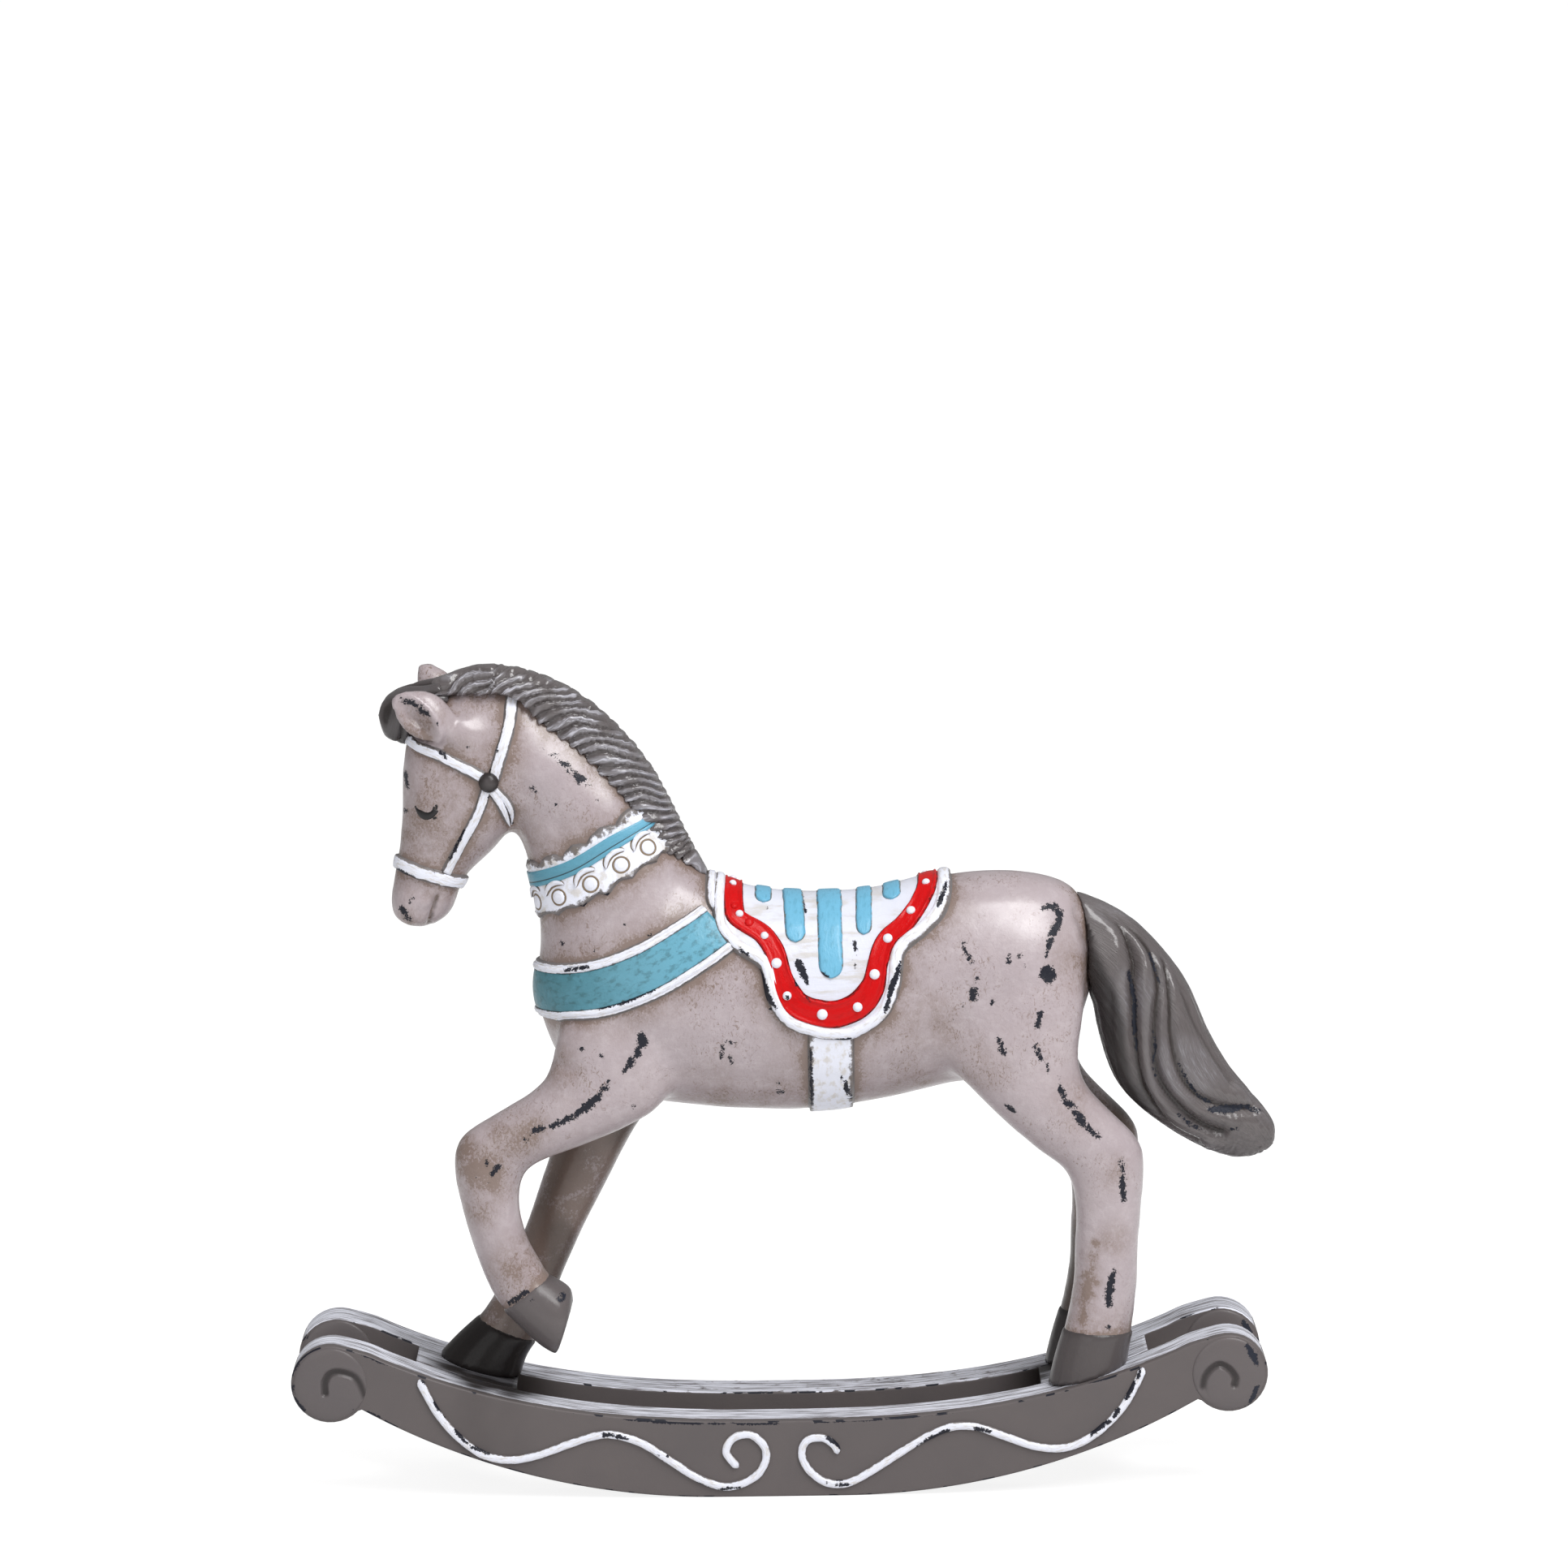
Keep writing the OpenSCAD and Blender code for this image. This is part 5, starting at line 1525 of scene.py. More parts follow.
def insideSide(x, z, line):
    # how far in mm a point lies to the left of a line that runs down
    best, out = 1e9, 0
    for (ax, az), (bx, bz) in zip(line[:-1], line[1:]):
        dx, dz = bx - ax, bz - az
        t = min(max(((x - ax) * dx + (z - az) * dz) / (dx * dx + dz * dz), 0), 1)
        gap = math.hypot(x - ax - t * dx, z - az - t * dz)
        if gap < best:
            best = gap
            out = gap if dx * (z - az) - dz * (x - ax) < 0 else -gap
    return out


def makeTail():
    # long locks that flow down to the tip
    obj = hairCopy("tailHair", "tail", tail["voxel"], 26)
    co, no = meshArrays(obj)
    along, off, total = lineShare(tail["axis"], co)
    share = along / total
    halfAt = np.interp(share, np.linspace(0, 1, len(tail["half"])), tail["half"])
    across = np.clip(off / halfAt, -1.2, 1.2)
    turn = np.arctan2(across, np.abs(co[:, 1]) / 7.5)
    flow = turn * 6.5 + drift(co, 0.05, 5) * 1.6
    flank = smoothArray(np.abs(no[:, 1]), 0.3, 0.8)
    fade = smoothArray(share, 0.0, 0.12)
    ridge = np.ones(len(co))
    for line, depth, width in tail["valleys"]:
        d = strokeDistance(co, [hairline(line, 4)])
        ends = smoothArray(along, 2, 12)
        dip = np.exp(-(d / width) ** 2)
        swell = 0.42 * np.exp(-((d - 2.9) / 1.5) ** 2)
        co += no * ((swell - dip) * depth * flank * ends)[:, None]
        ridge = np.minimum(ridge, 1 - np.exp(-(d / width / 0.7) ** 2) * min(1, depth) * flank * ends)
    thin = strandRidge(flow + 0.3, 0.4)
    co += no * ((thin - 0.85) * (0.1 + 0.25 * smoothArray(share, 0.45, 0.9)) * fade)[:, None]
    setPlaces(obj, co)
    setLay(obj, flow * 2.2, along)
    setField(obj, "ridge", np.clip(ridge * (0.75 + 0.25 * thin), 0, 1))
    setField(obj, "dryBrush", 0.28 * fade * smoothArray(drift(co, 0.08, 8), -0.1, 0.4))
    obj.data.materials.append(materials["hair"])
    # painted shade: near black on the hollow front and darker in the valleys between the locks
    inner = np.array([insideSide(p[0], p[2], tail["hollow"]) for p in co])
    dark = np.maximum(0.8 * smoothArray(inner, -0.6, 1.8), 0.4 * np.exp(-((ridge - 0.1) / 0.3) ** 2))
    finishField(obj, tailChips, shuffled(tailChips, 11), np.clip(dark, 0, 0.85))
    return obj


def makeForelock():
    # broad rolls that curl forwards from the poll
    obj = hairCopy("forelockHair", "forelock", 0.4, 14)
    co, no = meshArrays(obj)
    rel = co - np.array([-71.5, 0, 157.0])
    reach = np.hypot(rel[:, 0], rel[:, 2])
    turn = np.arctan2(rel[:, 2], -rel[:, 0])
    sweep = reach * 0.34 - turn * 0.55 + np.abs(rel[:, 1]) * 0.28
    strand = strandRidge(sweep, 0.34)
    co += no * ((strand - 0.85) * 0.8)[:, None]
    setPlaces(obj, co)
    setLay(obj, sweep * 3, turn * 6)
    setField(obj, "ridge", np.clip(0.15 + 0.85 * strand, 0, 1))
    setField(obj, "dryBrush", np.full(len(co), 0.12))
    obj.data.materials.append(materials["hair"])
    # a darker tone all over, with painted shade low down and in the valleys between the rolls
    dark = 0.38 + 0.5 * smoothArray(co[:, 2], 159, 152) + 0.25 * np.exp(-((strand - 0.1) / 0.3) ** 2)
    finishField(obj, inkAndShade=np.clip(dark, 0, 0.85))
    return obj


keep(makeMane(), "mane")
keep(makeTail(), "tail")
keep(makeForelock(), "forelock")
print("hair carved")

hoof = {
    # thickness in mm of the dark coat over the ends of the legs, and how dark each hoof is
    "coat": 0.24,
    "dark": {"hoof_fore_left": 0.05, "hoof_fore_right": 0.97, "hoof_hind_left": 0.3, "hoof_hind_right": 0.75},
    "chips": [
        [(-46.2, 41.9, 0.2), (-45.5, 41.5, 0.2), (-45.6, 40.8, 0.2), (-46.3, 40.6, 0.2), (-46.8, 41.1, 0.2)],
        [(-52, 41, 0.22)], [(60.2, 36.4, 0.3)],
    ],
}


def makeHoof(node):
    words = node.split("_")
    name = words[0] + words[1].capitalize() + words[2].capitalize()
    obj = hairCopy(name, node, 0.45, 10)
    co, no = meshArrays(obj)
    co += no * hoof["coat"]
    setPlaces(obj, co)
    obj.data.materials.append(materials["hoof"])
    # darker along the upper and lower edges, where the hoof meets the leg and the block
    z = co[:, 2]
    rimDarkening = 0.4 * np.exp(-((z - z.min()) / 0.9) ** 2) + 0.3 * np.exp(-(z.max() - z) ** 2)
    finishField(obj, hoof["chips"], [], np.clip(hoof["dark"][node] + rimDarkening, 0, 0.9))
    return keep(obj, node)


hooves = [makeHoof(n) for n in hoofNodes]
hoofNames = [h.name for h in hooves]
print("hooves made")

rocker = {
    # y of the rails' outer and inner faces, the rolled edge, and how far out the brushed white goes
    "outer": 20, "inner": 8, "edge": 0.5, "brushed": 17.2,
    "scrolls": [(-93.65, 24.6), (90.35, 24.6)], "disc": 7.5, "swell": 0.72,
    # dark patches round the hooves where they stand on the blocks: x, y, reach, amount
    "darkPatches": [
        (-60, 4, 7, 1.3), (-54, 4, 6, 1.1), (-69, -4, 6, 1.1), (-63, -8, 7, 1.4), (-57, -8, 6, 1.4),
        (-64, -14, 4.5, 1.0), (-57, -14, 4, 0.9), (57, -14, 3, 0.9), (52, -2, 4, 1.0), (53, 5, 6, 1.2),
    ],
    # carved curl in each scroll, on both faces: points (x, z)
    "curls": [
        [(-86.8, 19.5), (-86.6, 22.2), (-87.4, 24.5), (-88.5, 26.1), (-90, 26.9), (-92.2, 27.3),
         (-93.8, 26.7), (-94.7, 25.1), (-94.7, 22.9)],
        [(85.3, 19.6), (84.9, 22), (85.3, 23.9), (86.5, 25.5), (88, 26.5), (89.3, 26.3), (90.8, 25.1),
         (91.6, 23.6), (91.4, 22.3)],
    ],
    "vineFront": [
        (-75.4, 25.4), (-74.1, 22.6), (-71.4, 17.8), (-67.6, 13.3), (-62.6, 9.6), (-57.2, 8.4),
        (-51.4, 9.3), (-45.1, 11.5), (-40, 13.1), (-35.8, 13.4), (-30.1, 11.6), (-24.4, 7.9),
        (-18.6, 4.1), (-13.6, 2.3), (-9.8, 2.8), (-6.4, 4.7), (-4.6, 8), (-5.2, 11), (-8, 13.1),
        (-11.4, 12.3), (-12.8, 9.6), (-11.6, 7.6), (-10.3, 6.2),
    ],
    "vineRear": [
        (72.8, 26), (71.4, 22.8), (68.3, 17.6), (63, 12.4), (57, 9.6), (51, 9.8), (45, 11.8), (39, 14),
        (33.6, 14.2), (28, 12), (22.2, 8.5), (16, 4.6), (11.6, 2.6), (7.4, 3), (4, 5.7), (2.7, 9),
        (3.8, 11.7), (7, 12.2), (9.4, 10.6), (10.1, 8.8),
    ],
}
vineChips = [
    [(-74.6, 25.8, 0.45), (-74.2, 24.9, 0.3)],
    [(-72.2, 21.1, 0.4), (-71.4, 19.4, 0.4), (-70.7, 18.7, 0.25)], [(-70.1, 17.8, 0.2)],
    [(-68.3, 15, 0.35), (-65.8, 12.1, 0.25)], [(-65, 11.4, 0.25), (-61.3, 9.8, 0.2)],
    [(-37.7, 13.5, 0.45), (-36, 13.5, 0.35)], [(-34.8, 13.1, 0.4), (-33, 12.6, 0.25)],
    [(-26.7, 9.2, 0.3)], [(-18.6, 3.1, 0.25), (-16.5, 2.1, 0.2)], [(-14.2, 1.8, 0.25), (-12.5, 2, 0.2)],
    [(-11.7, 2, 0.2), (-10, 2.1, 0.2)], [(72.2, 26.1, 0.3), (71.6, 24, 0.25)],
    [(70.8, 23, 0.5), (69.3, 19.8, 0.35)], [(67.6, 17.3, 0.45), (66.6, 15.9, 0.3)],
    [(65.8, 15.1, 0.4), (62.5, 12.9, 0.5), (62.1, 12.1, 0.3)], [(38.6, 13.8, 0.45), (41.3, 13.3, 0.3)],
    [(32.7, 13.4, 0.45), (29.4, 12.1, 0.4), (27.7, 11.1, 0.25)], [(26.9, 10.6, 0.3), (26.2, 9.9, 0.2)],
    [(12.2, 2.4, 0.2), (10.5, 2.5, 0.2)], [(9.7, 2.3, 0.3)], [(7.7, 3, 0.25)],
    [(9.5, 3.7, 0.25), (10.8, 3.3, 0.2)], [(7.9, 12.4, 0.35), (9.7, 11.2, 0.35), (10.7, 10, 0.3)],
]


def sideOutline(node, y):
    # the outline of a rail or block on one of its flat faces, in order, in mm
    bm = bmesh.new()
    bm.from_mesh(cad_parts[node].data)
    bmesh.ops.remove_doubles(bm, verts=bm.verts, dist=1e-6)
    faces = [f for f in bm.faces if all(abs(v.co.y - y) < 2e-5 for v in f.verts)]
    chosen = set(faces)
    edges = [e for e in bm.edges if len([f for f in e.link_faces if f in chosen]) == 1]
    links = {}
    for e in edges:
        a, b = e.verts
        links.setdefault(a.index, []).append(b.index)
        links.setdefault(b.index, []).append(a.index)
    bm.verts.ensure_lookup_table()
    seen, loops = set(), []
    for first in links:
        loop, ahead = [], [first]
        while ahead and ahead[0] not in seen:
            here = ahead[0]
            seen.add(here)
            loop.append((bm.verts[here].co.x / mm, bm.verts[here].co.z / mm))
            ahead = [n for n in links[here] if n not in seen]
        if loop:
            loops.append(loop)
    bm.free()
    loop = max(loops, key=lambda l: max(p[0] for p in l) - min(p[0] for p in l))
    area = sum(a[0] * b[1] - b[0] * a[1] for a, b in zip(loop, loop[1:] + loop[:1]))
    return loop if area > 0 else loop[::-1]


def inset(loop, amount):
    # the outline drawn in by a few tenths
    out = []
    n = len(loop)
    for i in range(n):
        a, b, c = Vector(loop[i - 1]), Vector(loop[i]), Vector(loop[(i + 1) % n])
        d1, d2 = (b - a).normalized(), (c - b).normalized()
        n1, n2 = Vector((-d1.y, d1.x)), Vector((-d2.y, d2.x))
        both = n1 + n2
        out.append(tuple(b + both / max(both.length_squared / 2, 0.5) * amount))
    return out


def softened(loop):
    # a smooth curve through the outline, with its sharp corners kept
    n = len(loop)
    pts = [Vector(p) for p in loop]
    sharp = [(pts[i] - pts[i - 1]).angle(pts[(i + 1) % n] - pts[i]) > math.radians(28) for i in range(n)]
    out = []
    for i in range(n):
        b, c = pts[i], pts[(i + 1) % n]
        a = b if sharp[i] else pts[i - 1]
        d = c if sharp[(i + 1) % n] else pts[(i + 2) % n]
        if (b - a).length > 3 * (c - b).length:
            a = b - (b - a).normalized() * (c - b).length
        if (d - c).length > 3 * (c - b).length:
            d = c + (d - c).normalized() * (c - b).length
        steps = max(1, min(8, int((c - b).length / 0.9)))
        out += [tuple(betweenPoints(a, b, c, d, k / steps)) for k in range(steps)]
    return out


def makeRail(name, node, low, high):
    # the outline swept across the rail, with rolled edges
    loop = softened(sideOutline(node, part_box(node)[0].y))
    r = rocker["edge"]
    levels = [(low, r + 0.5), (low, r + 0.1)]
    for k in range(6):
        a = math.pi / 2 * k / 5
        levels.append((low + r * (1 - math.cos(a)), r * (1 - math.sin(a))))
    half = [(low + high - y, i) for y, i in levels[::-1]]
    levels += [(float(y), 0.0) for y in np.linspace(low + r, high - r, 14)[1:-1]] + half
    rings = [inset(loop, amount) for y, amount in levels]
    n, rows = len(loop), len(levels) - 1
    bm = bmesh.new()
    for v in bmesh.ops.create_grid(bm, x_segments=n, y_segments=rows, size=0.5)["verts"]:
        i = round((v.co.x + 0.5) * n) % n
        j = round((v.co.y + 0.5) * rows)
        x, z = rings[j][i]
        v.co = Vector((x, levels[j][0], z)) * mm
    bmesh.ops.remove_doubles(bm, verts=bm.verts, dist=1e-6)
    caps = bmesh.ops.holes_fill(bm, edges=[e for e in bm.edges if e.is_boundary], sides=0)["faces"]
    bmesh.ops.triangulate(bm, faces=caps)
    bmesh.ops.recalc_face_normals(bm, faces=bm.faces)
    return newObject(name, bm, materials["top"])


def makeScrollDisc(x, z, curl, face, out):
    # a soft swelling over the scroll at y = face, with the curl carved into it; out is the way it faces in y
    radius, rings, around = rocker["disc"], 34, 96
    bm = bmesh.new()
    for v in bmesh.ops.create_grid(bm, x_segments=around, y_segments=rings, size=0.5)["verts"]:
        angle = 2 * math.pi * (v.co.x + 0.5)
        reach = radius * (v.co.y + 0.5)
        v.co = Vector((x + reach * math.cos(angle), 0, z + reach * math.sin(angle)))
    bmesh.ops.remove_doubles(bm, verts=bm.verts, dist=1e-4)
    flat = np.array([tuple(v.co) for v in bm.verts])
    d = strokeDistance(flat, [hairline(curl, 5)])
    first = np.array(curl[0])
    for v, gap in zip(bm.verts, d):
        reach = math.hypot(v.co.x - x, v.co.z - z) / radius
        fade = smoothStep(0, 2.5, math.hypot(v.co.x - first[0], v.co.z - first[1]))
        rise = rocker["swell"] * (1 - reach ** 3) ** 0.6 if reach < 1 else 0
        groove = (1 - smoothStep(0.3, 1.05, gap)) * fade
        lift = rise * (1 - 0.86 * groove) + 0.02 * (reach < 0.97)
        v.co = Vector((v.co.x, face + out * lift, v.co.z)) * mm
    bmesh.ops.recalc_face_normals(bm, faces=bm.faces)
    if sum(f.normal.y * out for f in bm.faces) < 0:
        bmesh.ops.reverse_faces(bm, faces=bm.faces)
    wall = bmesh.ops.extrude_edge_only(bm, edges=[e for e in bm.edges if e.is_boundary])["geom"]
    for v in [g for g in wall if isinstance(g, bmesh.types.BMVert)]:
        v.co.y -= out * 0.5 * mm
    bmesh.ops.holes_fill(bm, edges=[e for e in bm.edges if e.is_boundary], sides=0)
    bmesh.ops.recalc_face_normals(bm, faces=bm.faces)
    return newObject("disc", bm, materials["taupe"])


def dressDiscs(obj):
    # painted shade lies in the carved curls
    d = strokeDistance(meshArrays(obj)[0], [hairline(curl[1:], 5, 0.16) for curl in rocker["curls"]])
    finishField(obj, scrollChips, shuffled(scrollChips, 17), np.clip(0.8 - 1.1 * d, 0, 0.7))


def makeVine(side):
    # a round-topped bead along the rail's outer face
    parts = []
    beadHalf, step = 0.875, 0.5
    slope = [(-1, -0.2), (-0.98, 0.12), (-0.86, 0.45), (-0.6, 0.66), (-0.3, 0.73)]
    profile = slope + [(0, 0.75)] + [(-a, h) for a, h in slope[::-1]]
    ring = len(profile)
    for points in (rocker["vineFront"], rocker["vineRear"]):
        face = side * rocker["outer"]
        path = evenly([Vector((x, face, z)) * mm for x, z in smoothLine(points, 8)], step)
        bm = bmesh.new()
        lay = bm.verts.layers.float_vector.new("lay")
        count = len(path) - 1
        for v in bmesh.ops.create_grid(bm, x_segments=count, y_segments=ring, size=0.5)["verts"]:
            i = round((v.co.x + 0.5) * count)
            across, height = profile[round((v.co.y + 0.5) * ring) % ring]
            go = (path[min(i + 1, count)] - path[max(i - 1, 0)]).normalized()
            cross = Vector((-go.z, 0, go.x))
            end = min(i, count - i) * step
            slim = min(1, 0.25 + math.sqrt(min(1, end / 0.85)) * 0.75)
            slim *= 1 + 0.09 * flutter(i * 0.16, side, 3)
            rise = Vector((0, side * height * min(1, slim * 1.02) * mm, 0))
            v[lay] = (i * step, across, 0)
            v.co = path[i] + cross * (across * beadHalf * slim * mm) + rise
        closeUp(bm)
        parts.append(newObject("part", bm, materials["white"]))
    return joinPieces("railVineNear" if side < 0 else "railVineFar", parts)


def dressRail(obj, chips, far):
    # the brushed white keeps to the top and stays off the outer edge
    co, no = meshArrays(obj)
    x, y, z = co.T
    setLay(obj, x + 0.6 * (z - 16) * np.sign(x), y)
    offEdge = smoothArray(np.abs(y), rocker["brushed"] + 1.2, rocker["brushed"] - 0.4)
    up = smoothArray(no[:, 2], 0.25, 0.7)
    setField(obj, "cover", up * np.where(y < 0, offEdge, 1 - 0.36 * smoothArray(np.abs(x - 14), 62, 34)))
    # darker round the hooves where they stand on the blocks
    darkPatch = np.zeros(len(co))
    for spotX, spotY, reach, amount in rocker["darkPatches"]:
        darkPatch = np.maximum(darkPatch, amount * np.exp(-((x - spotX) ** 2 + (y - spotY) ** 2) / reach ** 2))
    setField(obj, "inkAndShade", np.clip(darkPatch, 0, 0.97))
    # the strokes are drawn from the side, so they are kept off the top and near the outer face
    chip = sideStrokes(co, chips, far) + 3 * smoothArray(no[:, 2], 0.3, 0.5) * (np.abs(x) < 90)
    chip += 3 * smoothArray(rocker["outer"] - np.abs(y) + 3 * drift(co, 0.3, 14), 1.0, 5.0)
    # worn along the rolled edges
    rolled = (np.abs(no[:, 1]) > 0.25) * (np.abs(no[:, 1]) < 0.96)
    setField(obj, "chip", np.where(rolled, np.minimum(chip, 1.1 - 4.5 * drift(co, 0.4, 12)), chip))


scrollChips = [
    [(-100.4, 29, 0.5), (-101.3, 27, 0.35)], [(-101.5, 24.6, 0.4), (-101.4, 22.9, 0.3)],
    [(-101, 21.8, 0.4), (-99, 19.2, 0.3)], [(94.1, 30.4, 0.45), (95.3, 28.2, 0.7), (96.1, 26.4, 0.3)],
    [(96, 21.7, 0.5), (94.8, 18.8, 0.35)],
]
railChips = scrollChips + [
    [(-86.5, 18.9, 0.3), (-83.2, 17.5, 0.2)], [(-88, 31.5, 0.25), (-84, 29.6, 0.4), (-78, 27.5, 0.25)],
    [(-34, 16.7, 0.18), (-26, 15.9, 0.3), (-16, 15.4, 0.25), (-2, 15.2, 0.15)],
    [(5, 15.5, 0.15), (16, 15.9, 0.3), (27, 16.7, 0.28), (37, 17.6, 0.15)],
]
outer, inner = rocker["outer"], rocker["inner"]
for name, node, low, high in (
    ("railNear", "rocker_rail_left", -outer, -inner), ("railFar", "rocker_rail_right", inner, outer),
    ("blockFront", "front_plate", -inner, inner), ("blockRear", "rear_plate", -inner, inner),
):
    dressRail(keep(makeRail(name, node, low, high), node), railChips, shuffled(railChips, 15))
discs = []
for (x, z), curl in zip(rocker["scrolls"], rocker["curls"]):
    for side in (-1, 1):
        discs.append(makeScrollDisc(x, z, curl, side * outer, side))
        discs.append(makeScrollDisc(x, z, curl, side * inner, -side))
scrollDiscs = keep(joinPieces("scrollDiscs", discs))
dressDiscs(scrollDiscs)
for side, node in ((-1, "rail_vine_left"), (1, "rail_vine_right")):
    finishField(keep(makeVine(side), node), vineChips, shuffled(vineChips, 16, 0.3))
print("rockers made")

# what lies on the coat, with brown wash and painted shade along its edges
trimNames = ["breastPiping", "collarLace", "girthStrap", "saddleRim", "cheekStraps", "crownStrap", "browBand",
             "noseBand", "maneHair", "tailHair", "forelockHair", "throatLatch", "bridleBosses"] + hoofNames
# brown wash and painted shade on both sides: x, z, radius, amount
shadeAndWashSpots = [
    (30, 97, 10, 0.65), (61, 108, 7, 0.7), (24, 122, 6, 0.75), (-66, 72, 6, 0.95), (-63, 60, 6, 0.75),
    (-46, 88, 9, 0.6), (-56, 74, 8, 0.75), (-60, 66, 7, 0.8), (-52, 50, 8, 0.6), (40, 88, 9, 0.45),
    (60, 80, 8, 0.5), (67, 66, 5, 0.6), (67, 52, 5, 0.6), (60, 110, 9, 0.5), (0, 79, 14, 0.6),
    (26, 82, 12, 0.6), (-54, 134, 8, 0.75), (-76, 118, 5, 0.6), (-70, 160, 5, 0.6), (-20, 130, 8, 0.4),
    (-36, 100, 9, 0.4), (32, 94, 8, 0.4), (-64, 154, 4.5, 0.6), (-73, 158.6, 3.6, 0.8),
    (-55, 50, 7, 0.55), (-71, 140, 13, 0.75), (-52, 76, 6, 0.9), (-62, 67, 8, 1.15), (59, 42, 6, 0.55),
    (-57, 47, 6, 0.85), (-30, 108, 8, 0.35), (12, 76, 16, 0.7), (-14, 80, 12, 0.6), (-66, 133, 6, 0.55),
    (-80, 116, 5, 0.65), (-64, 64, 5, 0.8), (-77, 134, 7, 0.8), (-42, 104, 6, 0.5),
]


def trimGap(co):
    # distance in mm from each place to the nearest trim
    points = []
    for piece in pieces:
        if piece.name in trimNames:
            step = 2 if len(piece.data.vertices) > 20000 else 1
            points += [v.co / mm for v in list(piece.data.vertices)[::step]]
    tree = KDTree(len(points))
    for i, p in enumerate(points):
        tree.insert(p, i)
    tree.balance()
    return np.array([tree.find(p)[2] for p in co])


def dressHorse():
    co, no = meshArrays(horse)
    gap = trimGap(co)
    # brown wash and painted shade beside the trims
    washAndShade = 0.62 * np.exp(-np.clip(gap - 0.3, 0, 99) / 1.3) + 0.42 * np.exp(-(gap / 5.5) ** 2)
    # brown wash and painted shade in the creases
    hollow = np.sum((evened(horse, co, 14) - co) * no, axis=1)
    washAndShade = np.maximum(washAndShade, 0.85 * smoothArray(hollow, 0.03, 0.3))
    for x, z, radius, amount in shadeAndWashSpots:
        for side in (-1, 1):
            d = np.hypot(co[:, 0] - x, co[:, 2] - z) / radius + 9 * (co[:, 1] * side < 0)
            washAndShade = np.maximum(washAndShade, amount * np.exp(-d * d * 1.6))
    # painted shade on faces that look down
    washAndShade = np.maximum(washAndShade, 0.3 * np.clip(-no[:, 2], 0, 1))
    # painted shade on the insides of the legs, below the belly
    inner = np.clip(-no[:, 1] * np.sign(co[:, 1]) * 1.6, 0, 1) * smoothArray(co[:, 2], 84, 72)
    washAndShade = np.maximum(washAndShade, 1.1 * inner)
    # painted shade in the ear hollows, deepest towards their lower side
    for ear in castHorse["hollows"]:
        (x, z), side = ear["middle"], ear["side"]
        d = ovalReach(co, ear["middle"], ear["angle"], ear["half"])
        low = smoothArray(co[:, 0] - x - (co[:, 2] - z), -6, 3)
        inside = (co[:, 1] * side > 3) * (no[:, 1] * side > -0.2) * (d < 1.35)
        shade = 0.9 * smoothArray(d, 1.1, 0.75) * (0.35 + 0.65 * low)
        washAndShade = np.where(inside, np.maximum(shade, 0.06), washAndShade)
    washAndShade = np.clip(washAndShade, 0.1, 1.4)
    # painted shade on the inner faces of the far legs, darkest low down on the far hind leg
    far = smoothArray(no[:, 1], 0.4, -0.1) * smoothArray(co[:, 2], 86, 74) * (co[:, 1] > 0)
    cloudy = 0.3 + 0.5 * smoothArray(drift(co, 0.12, 7), -0.3, 0.4)
    inkAndShade = far * np.maximum(cloudy, 0.97 * smoothArray(co[:, 2], 58, 46) * (co[:, 0] > 0))
    # a runny stain down the front of the hind legs
    stain = strokeDistance(co, [[(63, 51, 0.4), (62, 44, 1.2), (60.6, 35, 0.9)]]) + 1.6 * drift(co, 0.5, 8)
    washAndShade = np.where(np.abs(co[:, 1]) > 6, np.maximum(washAndShade, 1.05 * smoothArray(stain, 2.6, -1.4)), washAndShade)
    mouth = strokeDistance(co, [[(-70.6, 122.9, 0.12), (-71.4, 120.7, 0.15), (-72.4, 117, 0.1)]])
    inkAndShade = np.maximum(inkAndShade, np.clip(0.75 - mouth * 2.2, 0, 0.8))
    setField(horse, "washAndShade", washAndShade)
    setField(horse, "inkAndShade", inkAndShade)
    setField(horse, "chip", sideStrokes(co, coatChips, shuffled(coatChips, 21, 3)))


keep(horse, "torso", "neck", "head", "ear_left", "ear_right", *legNodes)
dressHorse()
insides = {"neck_dowel": "wood", "head_dowel": "wood", "tail_dowel": "wood", "leg_dowels": "wood",
           "plate_dowels": "wood", "hoof_screws": "steel"}
for node, key in insides.items():
    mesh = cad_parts[node].data
    mesh.materials.clear()
    mesh.materials.append(materials[key])
print("horse dressed")

studio = {
    "ambient": 0.54, "mirror": 0.25,
    "key": {"power": 9.3, "at": (0.36, -0.52, 0.9), "size": (0.42, 0.8)},
    "fill": {"power": 1.8, "at": (-0.55, -1.25, 0.55), "size": (0.8, 0.8)},
    "aim": (0, 0, 0.09),
    "floor": (240, 240, 240), "floorSeen": (150, 149, 149), "floorGlow": 0.86,
    "camera": {"lens": 177.0, "at": (0.0008, -1.56625, 0.35926), "pitch": 82.2, "roll": -0.72},
}


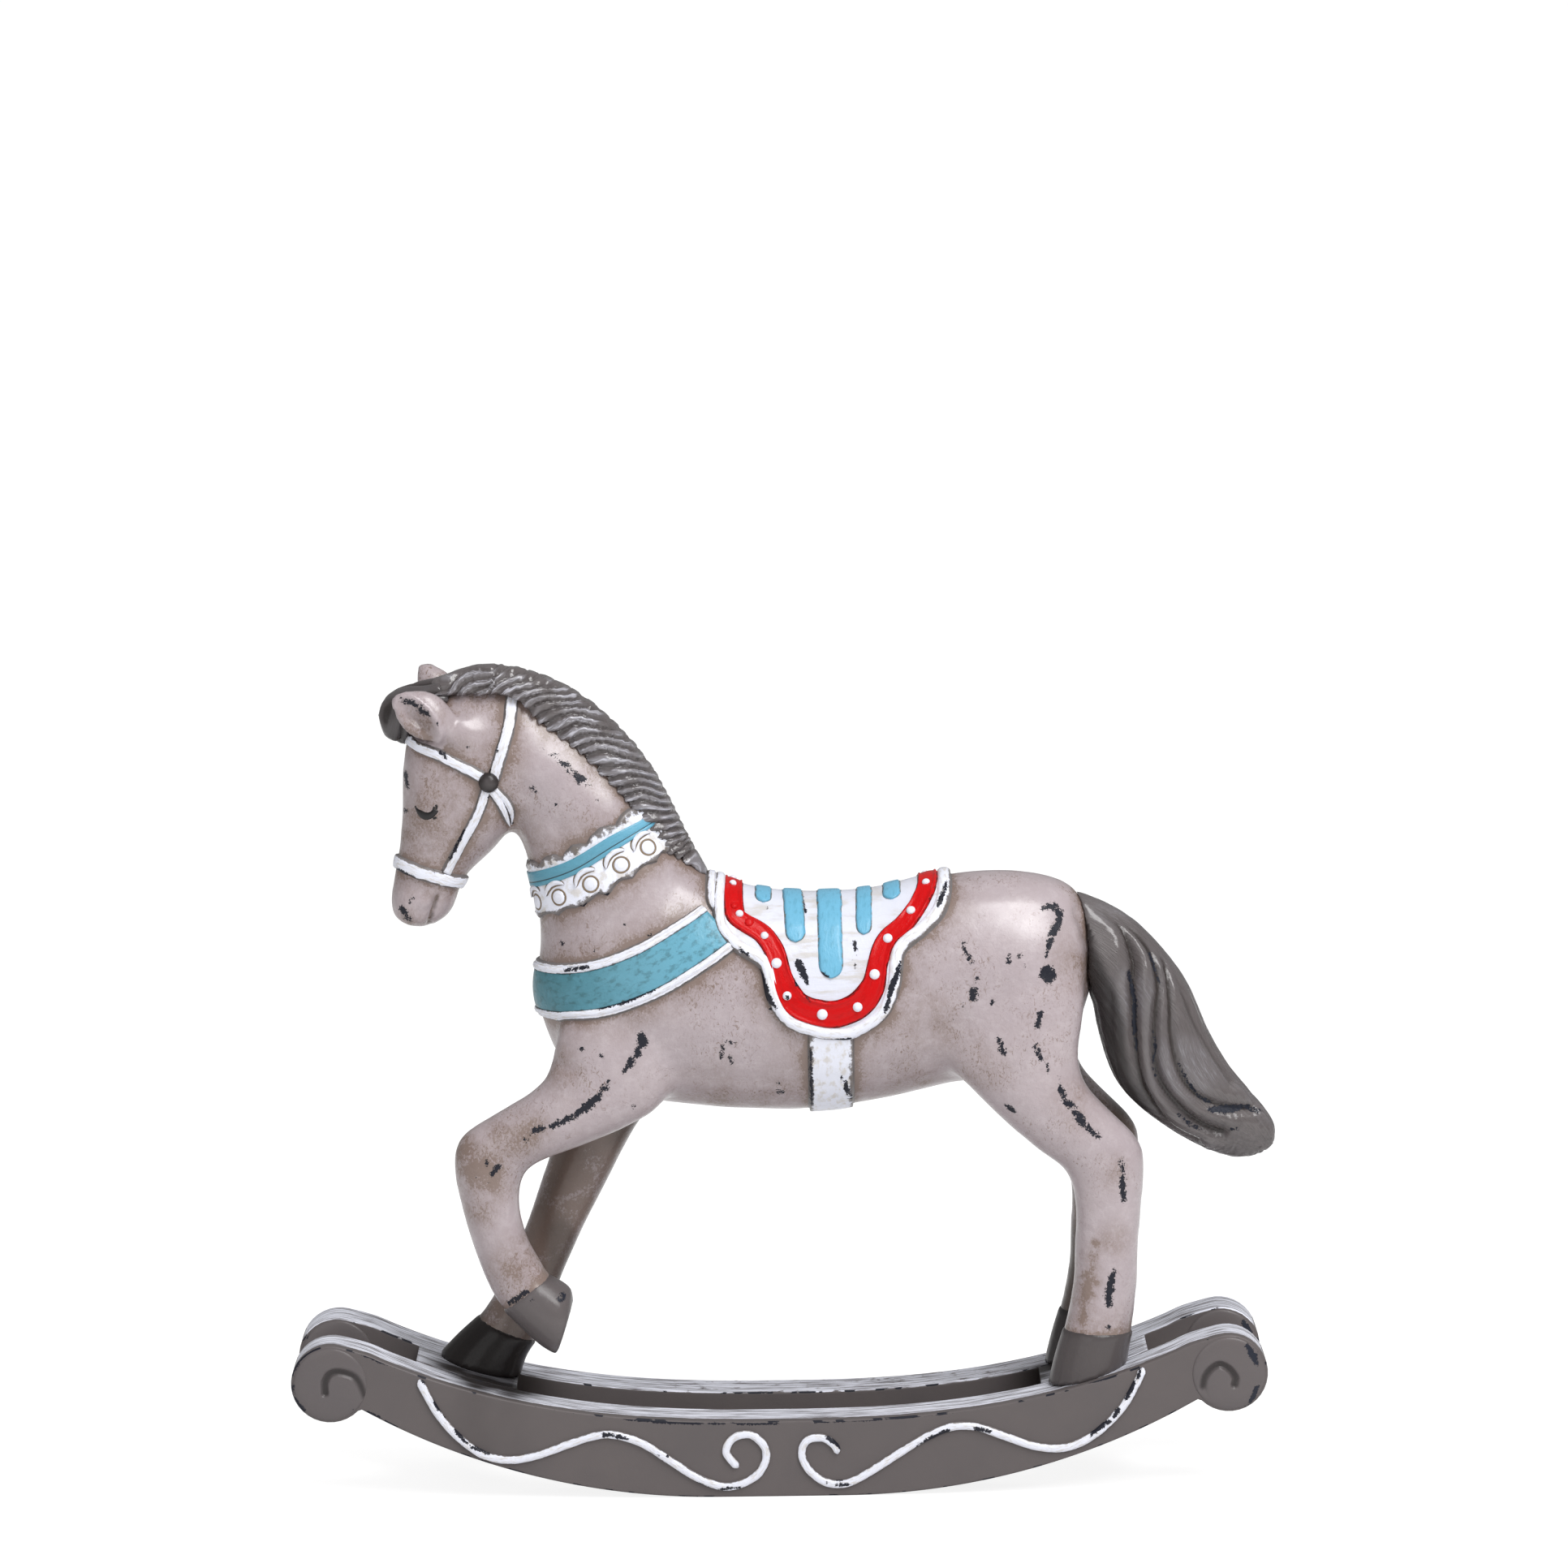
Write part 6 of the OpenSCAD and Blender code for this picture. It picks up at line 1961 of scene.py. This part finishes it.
def makeFloor():
    # seen straight on it glows up to white but keeps the shadow; to everything else it is a white table
    bm = bmesh.new()
    bmesh.ops.create_grid(bm, x_segments=1, y_segments=1, size=12)
    mat = bpy.data.materials.new("paleFloor")
    mat.use_nodes = True
    tree = mat.node_tree
    shader = tree.nodes["Principled BSDF"]
    shader.inputs["Roughness"].default_value = 0.8
    shader.inputs["Specular IOR Level"].default_value = 0.1
    shader.inputs["Emission Color"].default_value = (1, 1, 1, 1)
    path = tree.nodes.new("ShaderNodeLightPath")
    seen = path.outputs["Is Camera Ray"]
    white = mixNode(tree, seen, rgb(*studio["floor"]), rgb(*studio["floorSeen"]))
    tree.links.new(white, shader.inputs["Base Color"])
    tree.links.new(times(tree, seen, studio["floorGlow"]), shader.inputs["Emission Strength"])
    newObject("studioFloor", bm, mat)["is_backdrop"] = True


def areaLight(name, lamp):
    data = bpy.data.lights.new(name, "AREA")
    data.shape = "RECTANGLE"
    data.size, data.size_y = lamp["size"]
    data.energy = lamp["power"]
    obj = bpy.data.objects.new(name, data)
    bpy.context.scene.collection.objects.link(obj)
    obj.location = lamp["at"]
    obj.rotation_euler = (Vector(studio["aim"]) - Vector(lamp["at"])).to_track_quat("-Z", "Y").to_euler()


def makeWorld():
    # white to the camera, softer as a light, and softer still as a reflection
    world = bpy.data.worlds.new("studio")
    bpy.context.scene.world = world
    world.use_nodes = True
    tree = world.node_tree
    back = tree.nodes["Background"]
    back.inputs["Color"].default_value = (1, 1, 1, 1)
    path = tree.nodes.new("ShaderNodeLightPath")
    dimmed = times(tree, path.outputs["Is Glossy Ray"], studio["ambient"] - studio["mirror"])
    level = minus(tree, studio["ambient"], dimmed)
    tree.links.new(mathNode(tree, "MAXIMUM", level, path.outputs["Is Camera Ray"]), back.inputs["Strength"])


def makeCamera(spec):
    data = bpy.data.cameras.new("camera")
    data.lens = spec["lens"]
    data.sensor_width = 36
    camera = bpy.data.objects.new("camera", data)
    bpy.context.scene.collection.objects.link(camera)
    turn = Euler((math.radians(spec["pitch"]), 0, 0)).to_matrix()
    turn = turn @ Matrix.Rotation(math.radians(spec["roll"]), 3, "Z")
    camera.matrix_world = Matrix.Translation(spec["at"]) @ turn.to_4x4()
    bpy.context.scene.camera = camera


makeFloor()
makeWorld()
areaLight("overhead", studio["key"])
areaLight("frontFill", studio["fill"])
makeCamera(studio["camera"])
bpy.context.scene.view_settings.view_transform = "Standard"
print("studio set")

low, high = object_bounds()
